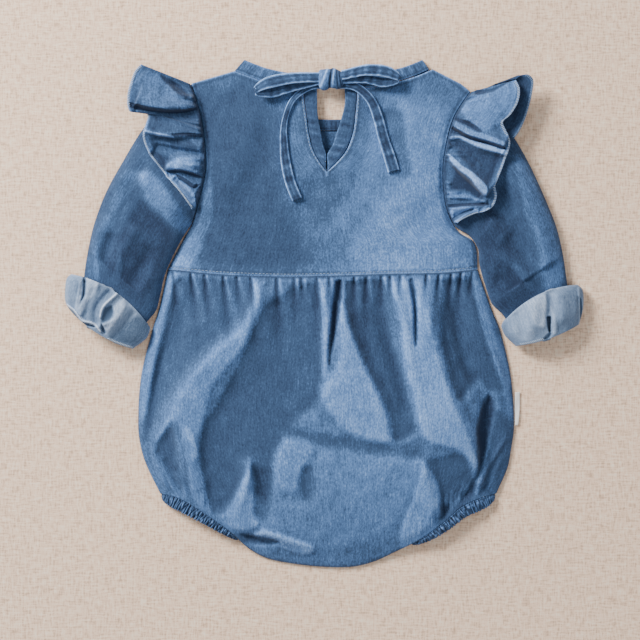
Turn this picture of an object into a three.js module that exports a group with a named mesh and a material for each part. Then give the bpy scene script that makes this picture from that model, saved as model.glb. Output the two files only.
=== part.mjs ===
// A baby's bubble romper in washed denim, laid flat on its front with its back up.
// Millimetres: X runs across the garment, Y from the crotch to the neck, Z up from the surface.
// Left and right are the wearer's, which is also how they lie in a view from above.

import * as THREE from "three";

// Cloth
const WALL = 1.3; // denim with its seam turnings
const FOLDED_WALL = 1.6; // neckband, bindings and ties, which are folded strips
const ROLLED_WALL = 2.4; // sleeve end rolled up twice
const SEAM_GAP = 0.3;
const CLEARANCE = 0.45; // between a piece and what it lies on
const FOOT = WALL + SEAM_GAP; // where a back panel stands on the front panel

// Crown heights of the back over the surface
const BODICE_CROWN = 9.5;
const BODY_CROWN = 18;
const ARCH_WIDE = 3.5;
const ARCH_SOFT = 0.7;

// Narrow parts
const CASING_WIDTH = 9.5;
const CASING_GATHERS = 20;
const CASING_GATHER_DEPTH = 0.9;
const WAIST_GATHER_DEPTH = 2;
const WAIST_GATHER_WIDTH = 4.5;
const WAIST_GATHER_LENGTH = 26;
const LABEL_LENGTH = 29;
const LABEL_WIDTH = 4.2;
const LABEL_TOP_Y = -68;
const KEYHOLE_X = 2.2;

// Shapes of the soft forms
const HEM_ROUND = 7;
const HEM_SOFT = 0.6;
const FOLD_MARGIN = 0.05; // share of the width or length in which folds fade out at a seam
const HEM_MARGIN = 0.08;
const TUBE_ROUND = 3;
const TUBE_SOFT = 0.6;
const TUBE_TURN = 9; // how late the base of a tube turns up to its edges
const SLEEVE_SIDE = 0.3; // height of a tube's edges, as a share of its top
const CUFF_SIDE = 0.36;
const CASING_SIDE = 1.9;
const CASING_TOP = 5;
const CASING_FALL = 1.5;
const CASING_LIP = 1.5;
const CASING_ENDS = 5; // how late the casing narrows to its ends
const RUFFLE_ROOT = 1.6; // between the armhole edge and the ruffle's gathered edge
const RUFFLE_RISE = 0.8;
const LOOP_LEAN = 0.18;
const LABEL_STEP = 0.8; // between the side seam and the label
const LABEL_THICK = 1;

// Counts of faces
const OUTLINE_STEPS = 18;
const HEM_STEPS = 44;
const NECK_STEPS = 24;
const BACK_NECK_STEPS = 12;
const BINDING_STEPS = 14;
const CASING_BASE = 12;
const LOOP_STEPS = 22;
const TAIL_STEPS = 18;
const KNOT_AROUND = 16;
const KNOT_HIGH = 10;
const BODY_COLUMNS = 60;
const BODY_ROWS = 20;
const BODICE_ROWS = 17;
const TUBE_TOP = 14;
const TUBE_BASE = 8;
const RUFFLE_ROWS = 36;
const RUFFLE_COLUMNS = 5;

// Sides of the body from the waist to the hem
const bodySides = [
  { y: 38.5, left: -136, right: 133.3 },
  { y: 6, left: -143.2, right: 144.8 },
  { y: -16, left: -149.9, right: 153.3 },
  { y: -55, left: -159.3, right: 162.3 },
  { y: -98, left: -161.8, right: 165 },
  { y: -118, left: -159, right: 162.4 },
  { y: -134, left: -153.5, right: 159.2 },
  { y: -156, left: -142.5, right: 149.5 },
];

// Sides and armholes of the bodice from the waist to the shoulder, with the height of their edge
const bodiceSides = [
  { y: 38.5, left: -136, right: 133.3, top: FOOT },
  { y: 55, left: -127.6, right: 132.4, top: FOOT },
  { y: 64, left: -122.8, right: 128.6, top: FOOT },
  { y: 70, left: -119.4, right: 118.6, top: FOOT },
  { y: 77, left: -115.3, right: 112.6, top: 2.2 },
  { y: 95, left: -109.6, right: 105.1, top: 5.6 },
  { y: 125, left: -102.6, right: 102.7, top: 7.3 },
  { y: 150, left: -103.6, right: 106.2, top: 7.3 },
  { y: 170, left: -106.4, right: 112.2, top: 5.9 },
  { y: 185, left: -110.4, right: 120.9, top: 4.3 },
  { y: 200, left: -115.3, right: 132, top: 3.1 },
];

// Waist seam
const waist = [
  { x: -136, y: 38.5 },
  { x: -87.5, y: 34 },
  { x: -35, y: 32.1 },
  { x: 14, y: 33 },
  { x: 62, y: 34.5 },
  { x: 101, y: 35.4 },
  { x: 133.3, y: 38.5 },
];

// Lower edge of the body: leg casings at both ends, the crotch edge between them
const hem = [
  { x: -142.5, y: -156, top: 3.2 },
  { x: -125, y: -160.5, top: 7.5 },
  { x: -103, y: -173.5, top: 9.5 },
  { x: -81, y: -189.5, top: 8 },
  { x: -66, y: -203.5, top: 4 },
  { x: -49, y: -212.8, top: FOOT },
  { x: -26, y: -217.4, top: FOOT },
  { x: 0, y: -220.1, top: FOOT },
  { x: 24, y: -220, top: FOOT },
  { x: 43, y: -215.5, top: FOOT },
  { x: 60, y: -207.5, top: 4 },
  { x: 82, y: -196, top: 8 },
  { x: 102, y: -182, top: 9.5 },
  { x: 118, y: -168, top: 9 },
  { x: 134, y: -160.5, top: 7 },
  { x: 149.5, y: -156, top: 3.2 },
];

// Neck edge of the back bodice, with the top edge of the neckband sewn to it
const backNeckLeft = [
  { x: -77.9, y: 210.8, top: 3.6, bandX: -69.3, bandY: 220.5 },
  { x: -64, y: 205.6, top: 4.5, bandX: -59.5, bandY: 216.5 },
  { x: -52, y: 201.4, top: 5.4, bandX: -48.5, bandY: 212.6 },
  { x: -30, y: 196.8, top: 6.7, bandX: -28.5, bandY: 208.4 },
  { x: -6.3, y: 195, top: 7.2, bandX: -6.3, bandY: 205.4 },
];
const backNeckRight = [
  { x: 18, y: 195, top: 7.2, bandX: 17.6, bandY: 206.2 },
  { x: 44, y: 196.8, top: 6.7, bandX: 41.5, bandY: 208.2 },
  { x: 69.4, y: 203.4, top: 5.2, bandX: 63, bandY: 212.4 },
  { x: 81, y: 207.6, top: 4.5, bandX: 74.5, bandY: 216 },
  { x: 91, y: 212.2, top: 3.6, bandX: 85.2, bandY: 220.5 },
];
const shoulderTips = {
  left: { x: -115.3, y: 200, top: 3.1 },
  right: { x: 126.8, y: 193, top: 3.3 },
};

// Neck edge of the front bodice, with the inner edge of its neckband
const frontNeck = [
  { x: -77.9, y: 210.8, bandX: -69.3, bandY: 220.5 },
  { x: -67, y: 187, bandX: -57.5, bandY: 193 },
  { x: -47, y: 169.5, bandX: -41, bandY: 177.3 },
  { x: -21, y: 161, bandX: -18.5, bandY: 170.2 },
  { x: 6, y: 159, bandX: 6, bandY: 168.8 },
  { x: 33, y: 161, bandX: 30.5, bandY: 170.2 },
  { x: 60, y: 169.5, bandX: 54, bandY: 177.3 },
  { x: 80, y: 187, bandX: 71, bandY: 193 },
  { x: 91, y: 212.2, bandX: 85.2, bandY: 220.5 },
];

// Keyhole: the V where its binding is sewn to the bodice, and the opening inside the binding
const keyhole = [
  { y: 122.8, leftSeam: 2.2, rightSeam: 2.2, leftEdge: 1.5, rightEdge: 2.9 },
  { y: 130, leftSeam: -3.2, rightSeam: 10, leftEdge: 1.5, rightEdge: 2.9 },
  { y: 138.7, leftSeam: -8.6, rightSeam: 17.6, leftEdge: 1.5, rightEdge: 2.9 },
  { y: 146, leftSeam: -11.4, rightSeam: 21.6, leftEdge: -1, rightEdge: 7.2 },
  { y: 157, leftSeam: -13.8, rightSeam: 25.2, leftEdge: -2.9, rightEdge: 10.8 },
  { y: 173, leftSeam: -15.9, rightSeam: 27.4, leftEdge: -5.7, rightEdge: 15.8 },
  { y: 184, leftSeam: -17.6, rightSeam: 28.4, leftEdge: -6.2, rightEdge: 18 },
  { y: 196, leftSeam: -18.9, rightSeam: 28.9, leftEdge: -6.4, rightEdge: 17.6 },
];

// Sleeves: both edges at each station, the sag of the line between them, base and top height
const leftSleeve = [
  { outerX: -115.6, outerY: 199.4, innerX: -117, innerY: 75.6, sag: 13.5, base: 0, top: 7.4 },
  { outerX: -138, outerY: 182, innerX: -123.8, innerY: 66, sag: 9, base: 0, top: 9 },
  { outerX: -157.5, outerY: 160.5, innerX: -129, innerY: 56, sag: 6, base: 0, top: 11 },
  { outerX: -175.2, outerY: 131.7, innerX: -134.4, innerY: 46, sag: 3, base: 0, top: 12 },
  { outerX: -189.7, outerY: 105.1, innerX: -140, innerY: 33, sag: 1, base: 0, top: 12 },
  { outerX: -199.7, outerY: 78.4, innerX: -144, innerY: 18, sag: 0, base: 0, top: 12 },
  { outerX: -205.3, outerY: 54, innerX: -147.8, innerY: 4, sag: 0, base: 0.6, top: 11.5 },
  { outerX: -208, outerY: 36, innerX: -153.5, innerY: -5, sag: 3, base: 2.9, top: 7.6 },
  { outerX: -210, outerY: 20, innerX: -160, innerY: -13, sag: 0, base: 2.9, top: 7.6 },
];
const rightSleeve = [
  { outerX: 127.2, outerY: 192.6, innerX: 113.3, innerY: 75.8, sag: -16.3, base: 0, top: 7.4 },
  { outerX: 148, outerY: 176, innerX: 122, innerY: 72, sag: -11, base: 0, top: 9 },
  { outerX: 164.9, outerY: 153.1, innerX: 131.2, innerY: 67, sag: -7, base: 0, top: 11 },
  { outerX: 179.8, outerY: 126.5, innerX: 135, innerY: 56, sag: -3, base: 0, top: 12 },
  { outerX: 194.3, outerY: 94.3, innerX: 137.6, innerY: 42, sag: 0, base: 0, top: 12 },
  { outerX: 202.4, outerY: 72.9, innerX: 141.8, innerY: 26, sag: 0, base: 0, top: 12 },
  { outerX: 207.5, outerY: 50, innerX: 147.4, innerY: 9, sag: 0, base: 0.6, top: 11.5 },
  { outerX: 210, outerY: 32, innerX: 156.5, innerY: 0, sag: -3, base: 2.9, top: 7.6 },
  { outerX: 212, outerY: 16, innerX: 163, innerY: -12, sag: 0, base: 2.9, top: 7.6 },
];

// Rolled cuffs, from their upper rim to the open end
const leftCuff = [
  { outerX: -219, outerY: 31, innerX: -152.6, innerY: -9.5, sag: 10, base: 0, top: 14 },
  { outerX: -223.6, outerY: 28, innerX: -151.2, innerY: -12, sag: 2, base: 0, top: 16.5 },
  { outerX: -225, outerY: 18, innerX: -152, innerY: -16.5, sag: -7, base: 0, top: 17.5 },
  { outerX: -224, outerY: 9, innerX: -154.6, innerY: -21, sag: -11, base: 0, top: 16.8 },
  { outerX: -220, outerY: 1, innerX: -160, innerY: -25, sag: -10, base: 0, top: 15 },
];
const rightCuff = [
  { outerX: 220, outerY: 23.5, innerX: 154.6, innerY: -7.5, sag: -8, base: 0, top: 14 },
  { outerX: 224.2, outerY: 20.5, innerX: 153.6, innerY: -10.5, sag: -2, base: 0, top: 16.5 },
  { outerX: 225, outerY: 10, innerX: 154.8, innerY: -15, sag: 6, base: 0, top: 17.5 },
  { outerX: 223.6, outerY: 0, innerX: 157.6, innerY: -20, sag: 9, base: 0, top: 16.8 },
  { outerX: 220, outerY: -9, innerX: 164, innerY: -25, sag: 8, base: 0, top: 15 },
];

// Ruffles: the outer edge at each ridge and valley of its waves, from the shoulder down
const leftRuffle = [
  { at: 0, x: -158.6, y: 215.6, top: 13 },
  { at: 0.1, x: -166, y: 205, top: 9.5 },
  { at: 0.2, x: -169.7, y: 191.6, top: 15 },
  { at: 0.32, x: -166.5, y: 175.5, top: 22 },
  { at: 0.42, x: -154, y: 168.5, top: 15 },
  { at: 0.5, x: -155.8, y: 156, top: 21 },
  { at: 0.6, x: -151.5, y: 138, top: 15.5 },
  { at: 0.69, x: -142.5, y: 126.5, top: 21 },
  { at: 0.78, x: -134.5, y: 117, top: 15 },
  { at: 0.88, x: -125, y: 105.5, top: 16.5 },
  { at: 1, x: -114.2, y: 90.5, top: 8.6 },
];
const rightRuffle = [
  { at: 0, x: 171, y: 206.4, top: 13 },
  { at: 0.09, x: 180.6, y: 199.5, top: 10 },
  { at: 0.19, x: 178.7, y: 187, top: 16 },
  { at: 0.29, x: 174, y: 170, top: 23 },
  { at: 0.37, x: 165.5, y: 155.5, top: 23 },
  { at: 0.45, x: 158.6, y: 153, top: 15.5 },
  { at: 0.53, x: 159.6, y: 143, top: 21.5 },
  { at: 0.62, x: 154.5, y: 128, top: 15.5 },
  { at: 0.7, x: 148.5, y: 112.5, top: 22 },
  { at: 0.78, x: 148.6, y: 98.5, top: 15.5 },
  { at: 0.86, x: 140, y: 89.5, top: 18 },
  { at: 0.93, x: 127, y: 86, top: 14 },
  { at: 1, x: 114.6, y: 79, top: 8.6 },
];

// Folds of the back body: three points of each, half its width, and its height or depth
const bodyFolds = [
  { x1: -53, y1: 22, x2: -90, y2: -40, x3: -150, y3: -113, wide: 13, high: 6.5 },
  { x1: -115, y1: 32, x2: -131, y2: -20, x3: -150, y3: -90, wide: 12, high: -4.5 },
  { x1: -128, y1: 30, x2: -146, y2: -50, x3: -151, y3: -95, wide: 7, high: 2.5 },
  { x1: -124, y1: -88, x2: -113, y2: -131, x3: -104, y3: -169, wide: 9, high: 3.5 },
  { x1: -44, y1: 29, x2: -58, y2: -35, x3: -92, y3: -150, wide: 16, high: -4 },
  { x1: 3, y1: 26, x2: 0, y2: -10, x3: -3, y3: -52, wide: 6, high: 2 },
  { x1: 13, y1: 29, x2: 10, y2: -2, x3: 5, y3: -41, wide: 6, high: -2.5 },
  { x1: 15, y1: 4, x2: 19, y2: -27, x3: 24, y3: -57, wide: 9, high: 2.5 },
  { x1: 22, y1: 26, x2: 34, y2: -41, x3: 61, y3: -102, wide: 8, high: -3 },
  { x1: 45, y1: 20, x2: 54, y2: -40, x3: 67, y3: -85, wide: 8, high: -3 },
  { x1: 52, y1: 26, x2: 62, y2: -35, x3: 81, y3: -91, wide: 9, high: 3 },
  { x1: 83, y1: -2, x2: 98, y2: -60, x3: 127, y3: -118, wide: 10, high: 5 },
  { x1: 97, y1: 30, x2: 120, y2: -40, x3: 134, y3: -140, wide: 11, high: -6 },
  { x1: 122, y1: 22, x2: 142, y2: -28, x3: 158, y3: -63, wide: 8, high: 4 },
  { x1: -65, y1: -129, x2: -74, y2: -155, x3: -80, y3: -175, wide: 8, high: 3 },
  { x1: -61, y1: -123, x2: -60, y2: -142, x3: -58, y3: -162, wide: 8, high: -3 },
  { x1: 99, y1: -118, x2: 101, y2: -140, x3: 102, y3: -162, wide: 7, high: -3 },
  { x1: 86, y1: -133, x2: 85, y2: -148, x3: 84, y3: -162, wide: 7, high: 2.5 },
  { x1: -76, y1: -193, x2: -48, y2: -199, x3: -7, y3: -205, wide: 6, high: -2.5 },
  { x1: -34, y1: -110, x2: -27, y2: -125, x3: -22, y3: -142, wide: 15, high: 2.5 },
];

// Folds of the sleeves, in the same columns
const leftSleeveFolds = [
  { x1: -160, y1: 120, x2: -138, y2: 100, x3: -115, y3: 81, wide: 13, high: 2.5 },
  { x1: -190, y1: 85, x2: -200, y2: 62, x3: -198, y3: 32, wide: 9, high: 2.5 },
  { x1: -166, y1: 70, x2: -176, y2: 52, x3: -185, y3: 33, wide: 9, high: 2.5 },
  { x1: -186, y1: 66, x2: -189, y2: 48, x3: -190, y3: 30, wide: 7, high: -2 },
];
const rightSleeveFolds = [
  { x1: 163, y1: 141, x2: 180, y2: 88, x3: 195, y3: 25, wide: 10, high: 3 },
  { x1: 149, y1: 45, x2: 168, y2: 42, x3: 184, y3: 18, wide: 9, high: 2.5 },
  { x1: 160, y1: 75, x2: 172, y2: 58, x3: 184, y3: 38, wide: 9, high: -2 },
];

// Where the gathers of the body start along the waist seam
const waistGathers = [
  -130, -115, -103, -87, -64, -44, -25, -5, 13, 37, 56, 74, 97, 107, 118, 127,
];

// The tie: centre lines of its loops and tails, with the half width of the ribbon
const leftLoop = [
  { x: -6.6, y: 202.2, z: 10.6, half: 3.4 },
  { x: -28, y: 197, z: 10.4, half: 4.4 },
  { x: -48, y: 192, z: 10.2, half: 5 },
  { x: -59.5, y: 191.4, z: 12.6, half: 5.2 },
  { x: -48, y: 198, z: 15.2, half: 5 },
  { x: -28, y: 202.6, z: 15.8, half: 4.6 },
  { x: -6, y: 204.2, z: 13.4, half: 3.6 },
];
const rightLoop = [
  { x: 17.8, y: 203.2, z: 10.6, half: 3.4 },
  { x: 36, y: 204.6, z: 10.6, half: 4 },
  { x: 54, y: 203.4, z: 10.2, half: 4.6 },
  { x: 64.4, y: 204.2, z: 12.6, half: 5 },
  { x: 54, y: 208, z: 15.2, half: 5 },
  { x: 36, y: 209.6, z: 15.8, half: 4.6 },
  { x: 17.4, y: 205.6, z: 13.4, half: 3.6 },
];
const leftTail = [
  { x: -7.4, y: 197.6, half: 2.8 },
  { x: -18, y: 193.4, half: 2.6 },
  { x: -28.6, y: 183.4, half: 2.4 },
  { x: -34.6, y: 165, half: 2.6 },
  { x: -35, y: 148, half: 3.4 },
  { x: -33.4, y: 131, half: 4.2 },
  { x: -29.6, y: 114, half: 4.5 },
  { x: -23.6, y: 99, half: 4.5 },
];
const rightTail = [
  { x: 18.8, y: 197.8, half: 3 },
  { x: 30, y: 195, half: 3.6 },
  { x: 40.6, y: 184.4, half: 4 },
  { x: 46.6, y: 169.4, half: 4.4 },
  { x: 51, y: 152.6, half: 4.6 },
  { x: 56, y: 137, half: 5 },
  { x: 60, y: 123.4, half: 5.2 },
];
const KNOT = { x: 5.6, y: 203.2, z: 10.4, halfX: 11.8, halfY: 8.3, halfZ: 4.6 };

const mix = THREE.MathUtils.lerp;
const clamp = THREE.MathUtils.clamp;
const UP = new THREE.Vector3(0, 0, 1);

// One column of a table at a place between its rows, along a smooth curve through them.
function read(table, along, at, column) {
  const last = table.length - 1;
  const rising = Math.sign(table[last][along] - table[0][along]);
  let i = 0;
  while (i < last - 1 && rising * (at - table[i + 1][along]) > 0) i += 1;
  const [from, to] = [table[i], table[i + 1]];
  const before = table[i - 1] ?? from;
  const after = table[i + 2] ?? to;
  const step = to[along] - from[along];
  const t = clamp((at - from[along]) / step, 0, 1);
  const slope = (low, high) => (high[column] - low[column]) / (high[along] - low[along]);
  const [start, end] = [slope(before, to) * step, slope(from, after) * step];
  const rise = to[column] - from[column];
  return from[column] + t * (start + t * (3 * rise - 2 * start - end + t * (start + end - 2 * rise)));
}

// A smooth curve through three named columns of a table.
function curveOf(table, columns) {
  const points = table.map((row) => new THREE.Vector3(...columns.map((name) => row[name] ?? 0)));
  return new THREE.CatmullRomCurve3(points);
}

function smoothStep(at, from, to) {
  return THREE.MathUtils.smoothstep(at, from, to);
}

// Even steps from 0 to 1, drawn together at both ends.
function spaced(count, drawn) {
  return Array.from({ length: count + 1 }, (_, i) =>
    mix(i / count, 0.5 - 0.5 * Math.cos((Math.PI * i) / count), drawn),
  );
}

// Rise of a soft arch, 0 at both edges and 1 over most of its width.
function arch(across) {
  return (1 - Math.abs(2 * across - 1) ** ARCH_WIDE) ** ARCH_SOFT;
}

// Height that a table of folds adds at a point; each fades out at its two ends.
function foldsAt(folds, x, y) {
  let sum = 0;
  for (const fold of folds) {
    const points = [1, 2, 3].map((n) => new THREE.Vector2(fold[`x${n}`], fold[`y${n}`]));
    let nearest = Infinity;
    let along = 0;
    for (let part = 0; part < 2; part += 1) {
      const line = points[part + 1].clone().sub(points[part]);
      const offset = new THREE.Vector2(x, y).sub(points[part]);
      const t = clamp(offset.dot(line) / line.lengthSq(), 0, 1);
      const distance = offset.sub(line.multiplyScalar(t)).length();
      if (distance < nearest) [nearest, along] = [distance, (part + t) / 2];
    }
    const fade = smoothStep(along, 0, 0.2) * smoothStep(1 - along, 0, 0.25);
    sum += fold.high * fade * Math.exp(-1.2 * (nearest / fold.wide) ** 2);
  }
  return sum;
}

// A closed wall of cloth under sheets of outer points, with a hem along every free edge.
// A point may state the way it faces; elsewhere the wall is measured square to the sheet.
function clothWall(sheets, wall, closedForm = false) {
  const points = [];
  const known = new Map();
  const corner = (point) => {
    const key = point.toArray().map((c) => Math.round(c * 100)).join();
    if (!known.has(key)) {
      known.set(key, points.length);
      points.push(point);
    }
    return known.get(key);
  };
  let faces = [];
  for (const sheet of sheets) {
    for (let i = 1; i < sheet.length; i += 1) {
      for (let j = 1; j < sheet[i].length; j += 1) {
        const square = [sheet[i - 1][j - 1], sheet[i][j - 1], sheet[i][j], sheet[i - 1][j]];
        const [a, b, c, d] = square.map(corner);
        faces.push([a, b, c], [a, c, d]);
      }
    }
  }
  faces = faces.filter(([a, b, c]) => a !== b && b !== c && a !== c);

  const centre = points.reduce((sum, p) => sum.add(p), new THREE.Vector3()).divideScalar(points.length);
  const normalOf = ([a, b, c]) => {
    const side = points[b].clone().sub(points[a]);
    return side.cross(points[c].clone().sub(points[a]));
  };
  const outwards = faces.reduce((sum, face) => {
    const normal = normalOf(face);
    return sum + (closedForm ? normal.dot(points[face[0]].clone().sub(centre)) : normal.z);
  }, 0);
  if (outwards < 0) faces = faces.map(([a, b, c]) => [a, c, b]);

  const facing = points.map(() => new THREE.Vector3());
  for (const face of faces) {
    const normal = normalOf(face);
    for (const id of face) facing[id].add(normal);
  }
  const inner = points.map((point, id) =>
    point.clone().addScaledVector(point.faces ?? facing[id].normalize(), -wall),
  );

  const count = points.length;
  const index = [];
  const edges = new Set(faces.flatMap(([a, b, c]) => [`${a},${b}`, `${b},${c}`, `${c},${a}`]));
  for (const [a, b, c] of faces) {
    index.push(a, b, c, a + count, c + count, b + count);
    for (const [from, to] of [[a, b], [b, c], [c, a]]) {
      if (!edges.has(`${to},${from}`)) {
        index.push(to, from, from + count, to, from + count, to + count);
      }
    }
  }
  const geometry = new THREE.BufferGeometry();
  geometry.setFromPoints([...points, ...inner]);
  geometry.setIndex(index);
  geometry.computeVertexNormals();
  return geometry;
}

// Lets a point's wall stand square to an edge: flat where the edge is closed, upright where open.
function facingAt(point, outX, outY, open) {
  const flat = new THREE.Vector3(outX, outY, 0).normalize();
  point.faces = flat.lerp(UP, clamp(open, 0, 1)).normalize();
  return point;
}

// Materials
const denim = new THREE.MeshStandardMaterial({ color: 0x5a7da5, roughness: 0.92, metalness: 0 });
const denimInside = new THREE.MeshStandardMaterial({ color: 0x8c9eb4, roughness: 0.94, metalness: 0 });
const labelWhite = new THREE.MeshStandardMaterial({ color: 0xf1f1ee, roughness: 0.7, metalness: 0 });

const romper = new THREE.Group();
romper.name = "baby_romper";

function addPiece(name, geometry, material = denim) {
  const mesh = new THREE.Mesh(geometry, material);
  mesh.name = name;
  romper.add(mesh);
  return mesh;
}

// Height of the highest of some pieces under a point.
const probe = new THREE.Raycaster();
function topOf(pieces, x, y) {
  probe.set(new THREE.Vector3(x, y, 100), new THREE.Vector3(0, 0, -1));
  const [first] = probe.intersectObjects(pieces, false);
  return first ? first.point.z : 0;
}

// Outline shared by front and back
const waistY = (x) => read(waist, "x", x, "y");
const sideX = (side, y) => read(y > 38.5 ? bodiceSides : bodySides, "y", y, side);
const edgeTop = (y) => read(bodiceSides, "y", y, "top");
const hemCurve = curveOf(hem, ["x", "y", "top"]);

function hemOutward(at) {
  const along = hemCurve.getTangentAt(clamp(at, 0.002, 0.998));
  return new THREE.Vector2(along.y, -along.x).normalize();
}

// Upper edge of the back bodice: a shoulder, then half the neck, on each side
function topEdge(x) {
  const left = x < KEYHOLE_X;
  const tip = left ? shoulderTips.left : shoulderTips.right;
  const neck = left ? backNeckLeft : backNeckRight;
  const neckPoint = left ? neck[0] : neck.at(-1);
  const onShoulder = left ? x < neckPoint.x : x > neckPoint.x;
  if (!onShoulder) return { y: read(neck, "x", x, "y"), top: read(neck, "x", x, "top") };
  const t = clamp((x - tip.x) / (neckPoint.x - tip.x), 0, 1);
  return { y: mix(tip.y, neckPoint.y, t), top: mix(tip.top, neckPoint.top, t) };
}

function bodiceHeight(x, y) {
  const [left, right] = [sideX("left", y), sideX("right", y)];
  const across = clamp((x - left) / (right - left), 0, 1);
  const edge = edgeTop(y);
  const upper = topEdge(clamp(x, shoulderTips.left.x, shoulderTips.right.x));
  const rise = clamp((y - waistY(x)) / (upper.y - waistY(x)), 0, 1);
  return mix(mix(edge, BODICE_CROWN, arch(across)), upper.top, smoothStep(rise, 0.5, 1));
}

// Back bodice: one piece, slit down to the tip of the keyhole
function bodiceHalf(side) {
  const out = side === "left" ? -1 : 1;
  const tip = shoulderTips[side];
  const neck = side === "left" ? backNeckLeft[0] : backNeckRight.at(-1);
  const seam = side === "left" ? "leftSeam" : "rightSeam";
  const seamTop = keyhole.at(-1)[seam];
  const corner = (neck.x - tip.x) / (seamTop - tip.x);
  const columns = [0, 0.035, 0.09, 0.17, 0.27, corner, 0.5, 0.62, 0.74, 0.87, 1];
  const centreLow = waistY(KEYHOLE_X) + SEAM_GAP / 2;
  const tipRow = (keyhole[0].y - centreLow) / (topEdge(seamTop).y - centreLow);
  const lowRows = Math.round(BODICE_ROWS * tipRow);
  return Array.from({ length: BODICE_ROWS + 1 }, (_, i) => {
    const rise =
      i <= lowRows
        ? (tipRow * i) / lowRows
        : mix(tipRow, 1, (i - lowRows) / (BODICE_ROWS - lowRows));
    return columns.map((share) => {
      const upper = topEdge(mix(tip.x, seamTop, share));
      const low = waistY(mix(sideX(side, 38.5), KEYHOLE_X, share)) + SEAM_GAP / 2;
      const onCentre = share === 1 && i <= lowRows;
      const y = onCentre ? mix(centreLow, keyhole[0].y, i / lowRows) : mix(low, upper.y, rise);
      const inner = i <= lowRows ? KEYHOLE_X : read(keyhole, "y", y, seam);
      const x = mix(sideX(side, y), inner, share);
      const point = new THREE.Vector3(x, y, i === BODICE_ROWS ? upper.top : bodiceHeight(x, y));
      if (share === 0) return facingAt(point, out, 0, (edgeTop(y) - FOOT) / WALL);
      if (i === 0) return facingAt(point, out, 0, 3 * arch(share / 2));
      if (i === BODICE_ROWS) point.faces = UP;
      return point;
    });
  });
}
const rightHalf = bodiceHalf("right").map((row) => row.reverse());
const backBodice = addPiece("back_bodice", clothWall([bodiceHalf("left"), rightHalf], WALL));

// Back body: gathered at the waist, full over the seat, drawn in at both leg casings
const crownOf = [
  { down: 0, crown: BODICE_CROWN },
  { down: 0.08, crown: BODICE_CROWN + 2.5 },
  { down: 0.3, crown: BODY_CROWN - 2 },
  { down: 0.55, crown: BODY_CROWN },
  { down: 0.8, crown: BODY_CROWN - 1.5 },
  { down: 1, crown: BODY_CROWN - 6 },
];

function gathersAt(x, below) {
  if (below > 2 * WAIST_GATHER_LENGTH) return 0;
  const depth = WAIST_GATHER_DEPTH * smoothStep(below, 0, 4) * Math.exp(-below / WAIST_GATHER_LENGTH);
  return waistGathers.reduce((sum, at) => sum - depth * Math.exp(-(((x - at) / WAIST_GATHER_WIDTH) ** 2)), 0);
}

function bodyPoint(across, down) {
  const lower = hemCurve.getPointAt(across);
  const out = hemOutward(across);
  const upperX = mix(bodySides[0].left, bodySides[0].right, across);
  const upperY = waistY(upperX) - SEAM_GAP / 2;
  const y = mix(upperY, lower.y, down);
  const [left, right] = [sideX("left", y), sideX("right", y)];
  const [lowLeft, lowRight] = [sideX("left", lower.y), sideX("right", lower.y)];
  const lowerShare = (lower.x - lowLeft) / (lowRight - lowLeft);
  const x = mix(left, right, mix(across, lowerShare, down));
  const crown = mix(FOOT, read(crownOf, "down", down, "crown"), arch(across));
  const fall = (1 - down ** HEM_ROUND) ** HEM_SOFT;
  const fromSides = smoothStep(Math.min(across, 1 - across), 0, FOLD_MARGIN);
  const fromEnds = smoothStep(1 - down, 0, HEM_MARGIN) * smoothStep(down, 0, FOLD_MARGIN);
  const folded = (foldsAt(bodyFolds, x, y) + gathersAt(x, upperY - y)) * fromSides * fromEnds;
  const point = new THREE.Vector3(x, y, mix(lower.z, crown, fall) + folded);
  const side = across === 0 ? -1 : across === 1 ? 1 : 0;
  if (down === 1) return facingAt(point, out.x, out.y, (lower.z - FOOT) / WALL);
  if (side) return facingAt(point, side, 0, 0);
  if (down === 0) return facingAt(point, Math.sign(across - 0.5), 0, 3 * arch(across));
  return point;
}
const bodySheet = spaced(BODY_ROWS, 0.3).map((down) =>
  spaced(BODY_COLUMNS, 0.35).map((across) => bodyPoint(across, down)),
);
const backBody = addPiece("back_body", clothWall([bodySheet], WALL));

// Front panels, flat on the surface
function flatPanel(outline, thickness) {
  const shape = new THREE.Shape(outline.map(([x, y]) => new THREE.Vector2(x, y)));
  return new THREE.ExtrudeGeometry(shape, { depth: thickness, bevelEnabled: false });
}

function sideRun(side, fromY, toY, count) {
  return spaced(count, 0).map((t) => {
    const y = mix(fromY, toY, t);
    return [sideX(side, y), y];
  });
}

function waistRun(fromX, toX, shift) {
  return spaced(12, 0)
    .slice(1, -1)
    .map((t) => mix(fromX, toX, t))
    .map((x) => [x, waistY(x) + shift]);
}
const waistEnd = bodySides[0];
const hemRun = spaced(HEM_STEPS, 0)
  .map((t) => hemCurve.getPointAt(t))
  .map((point) => [point.x, point.y]);
addPiece(
  "front_body",
  flatPanel(
    [
      ...sideRun("left", waistEnd.y - SEAM_GAP / 2, hem[0].y, 14).slice(0, -1),
      ...hemRun,
      ...sideRun("right", hem.at(-1).y, waistEnd.y - SEAM_GAP / 2, 14).slice(1),
      ...waistRun(waistEnd.right, waistEnd.left, -SEAM_GAP / 2),
    ],
    WALL,
  ),
);
const frontNeckCurve = curveOf(frontNeck, ["x", "y"]);
addPiece(
  "front_bodice",
  flatPanel(
    [
      ...sideRun("right", waistEnd.y + SEAM_GAP / 2, shoulderTips.right.y, OUTLINE_STEPS),
      ...spaced(NECK_STEPS, 0)
        .map((t) => frontNeckCurve.getPointAt(1 - t))
        .map((point) => [point.x, point.y]),
      ...sideRun("left", shoulderTips.left.y, waistEnd.y + SEAM_GAP / 2, OUTLINE_STEPS),
      ...waistRun(waistEnd.left, waistEnd.right, SEAM_GAP / 2),
    ],
    WALL,
  ),
);

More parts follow.
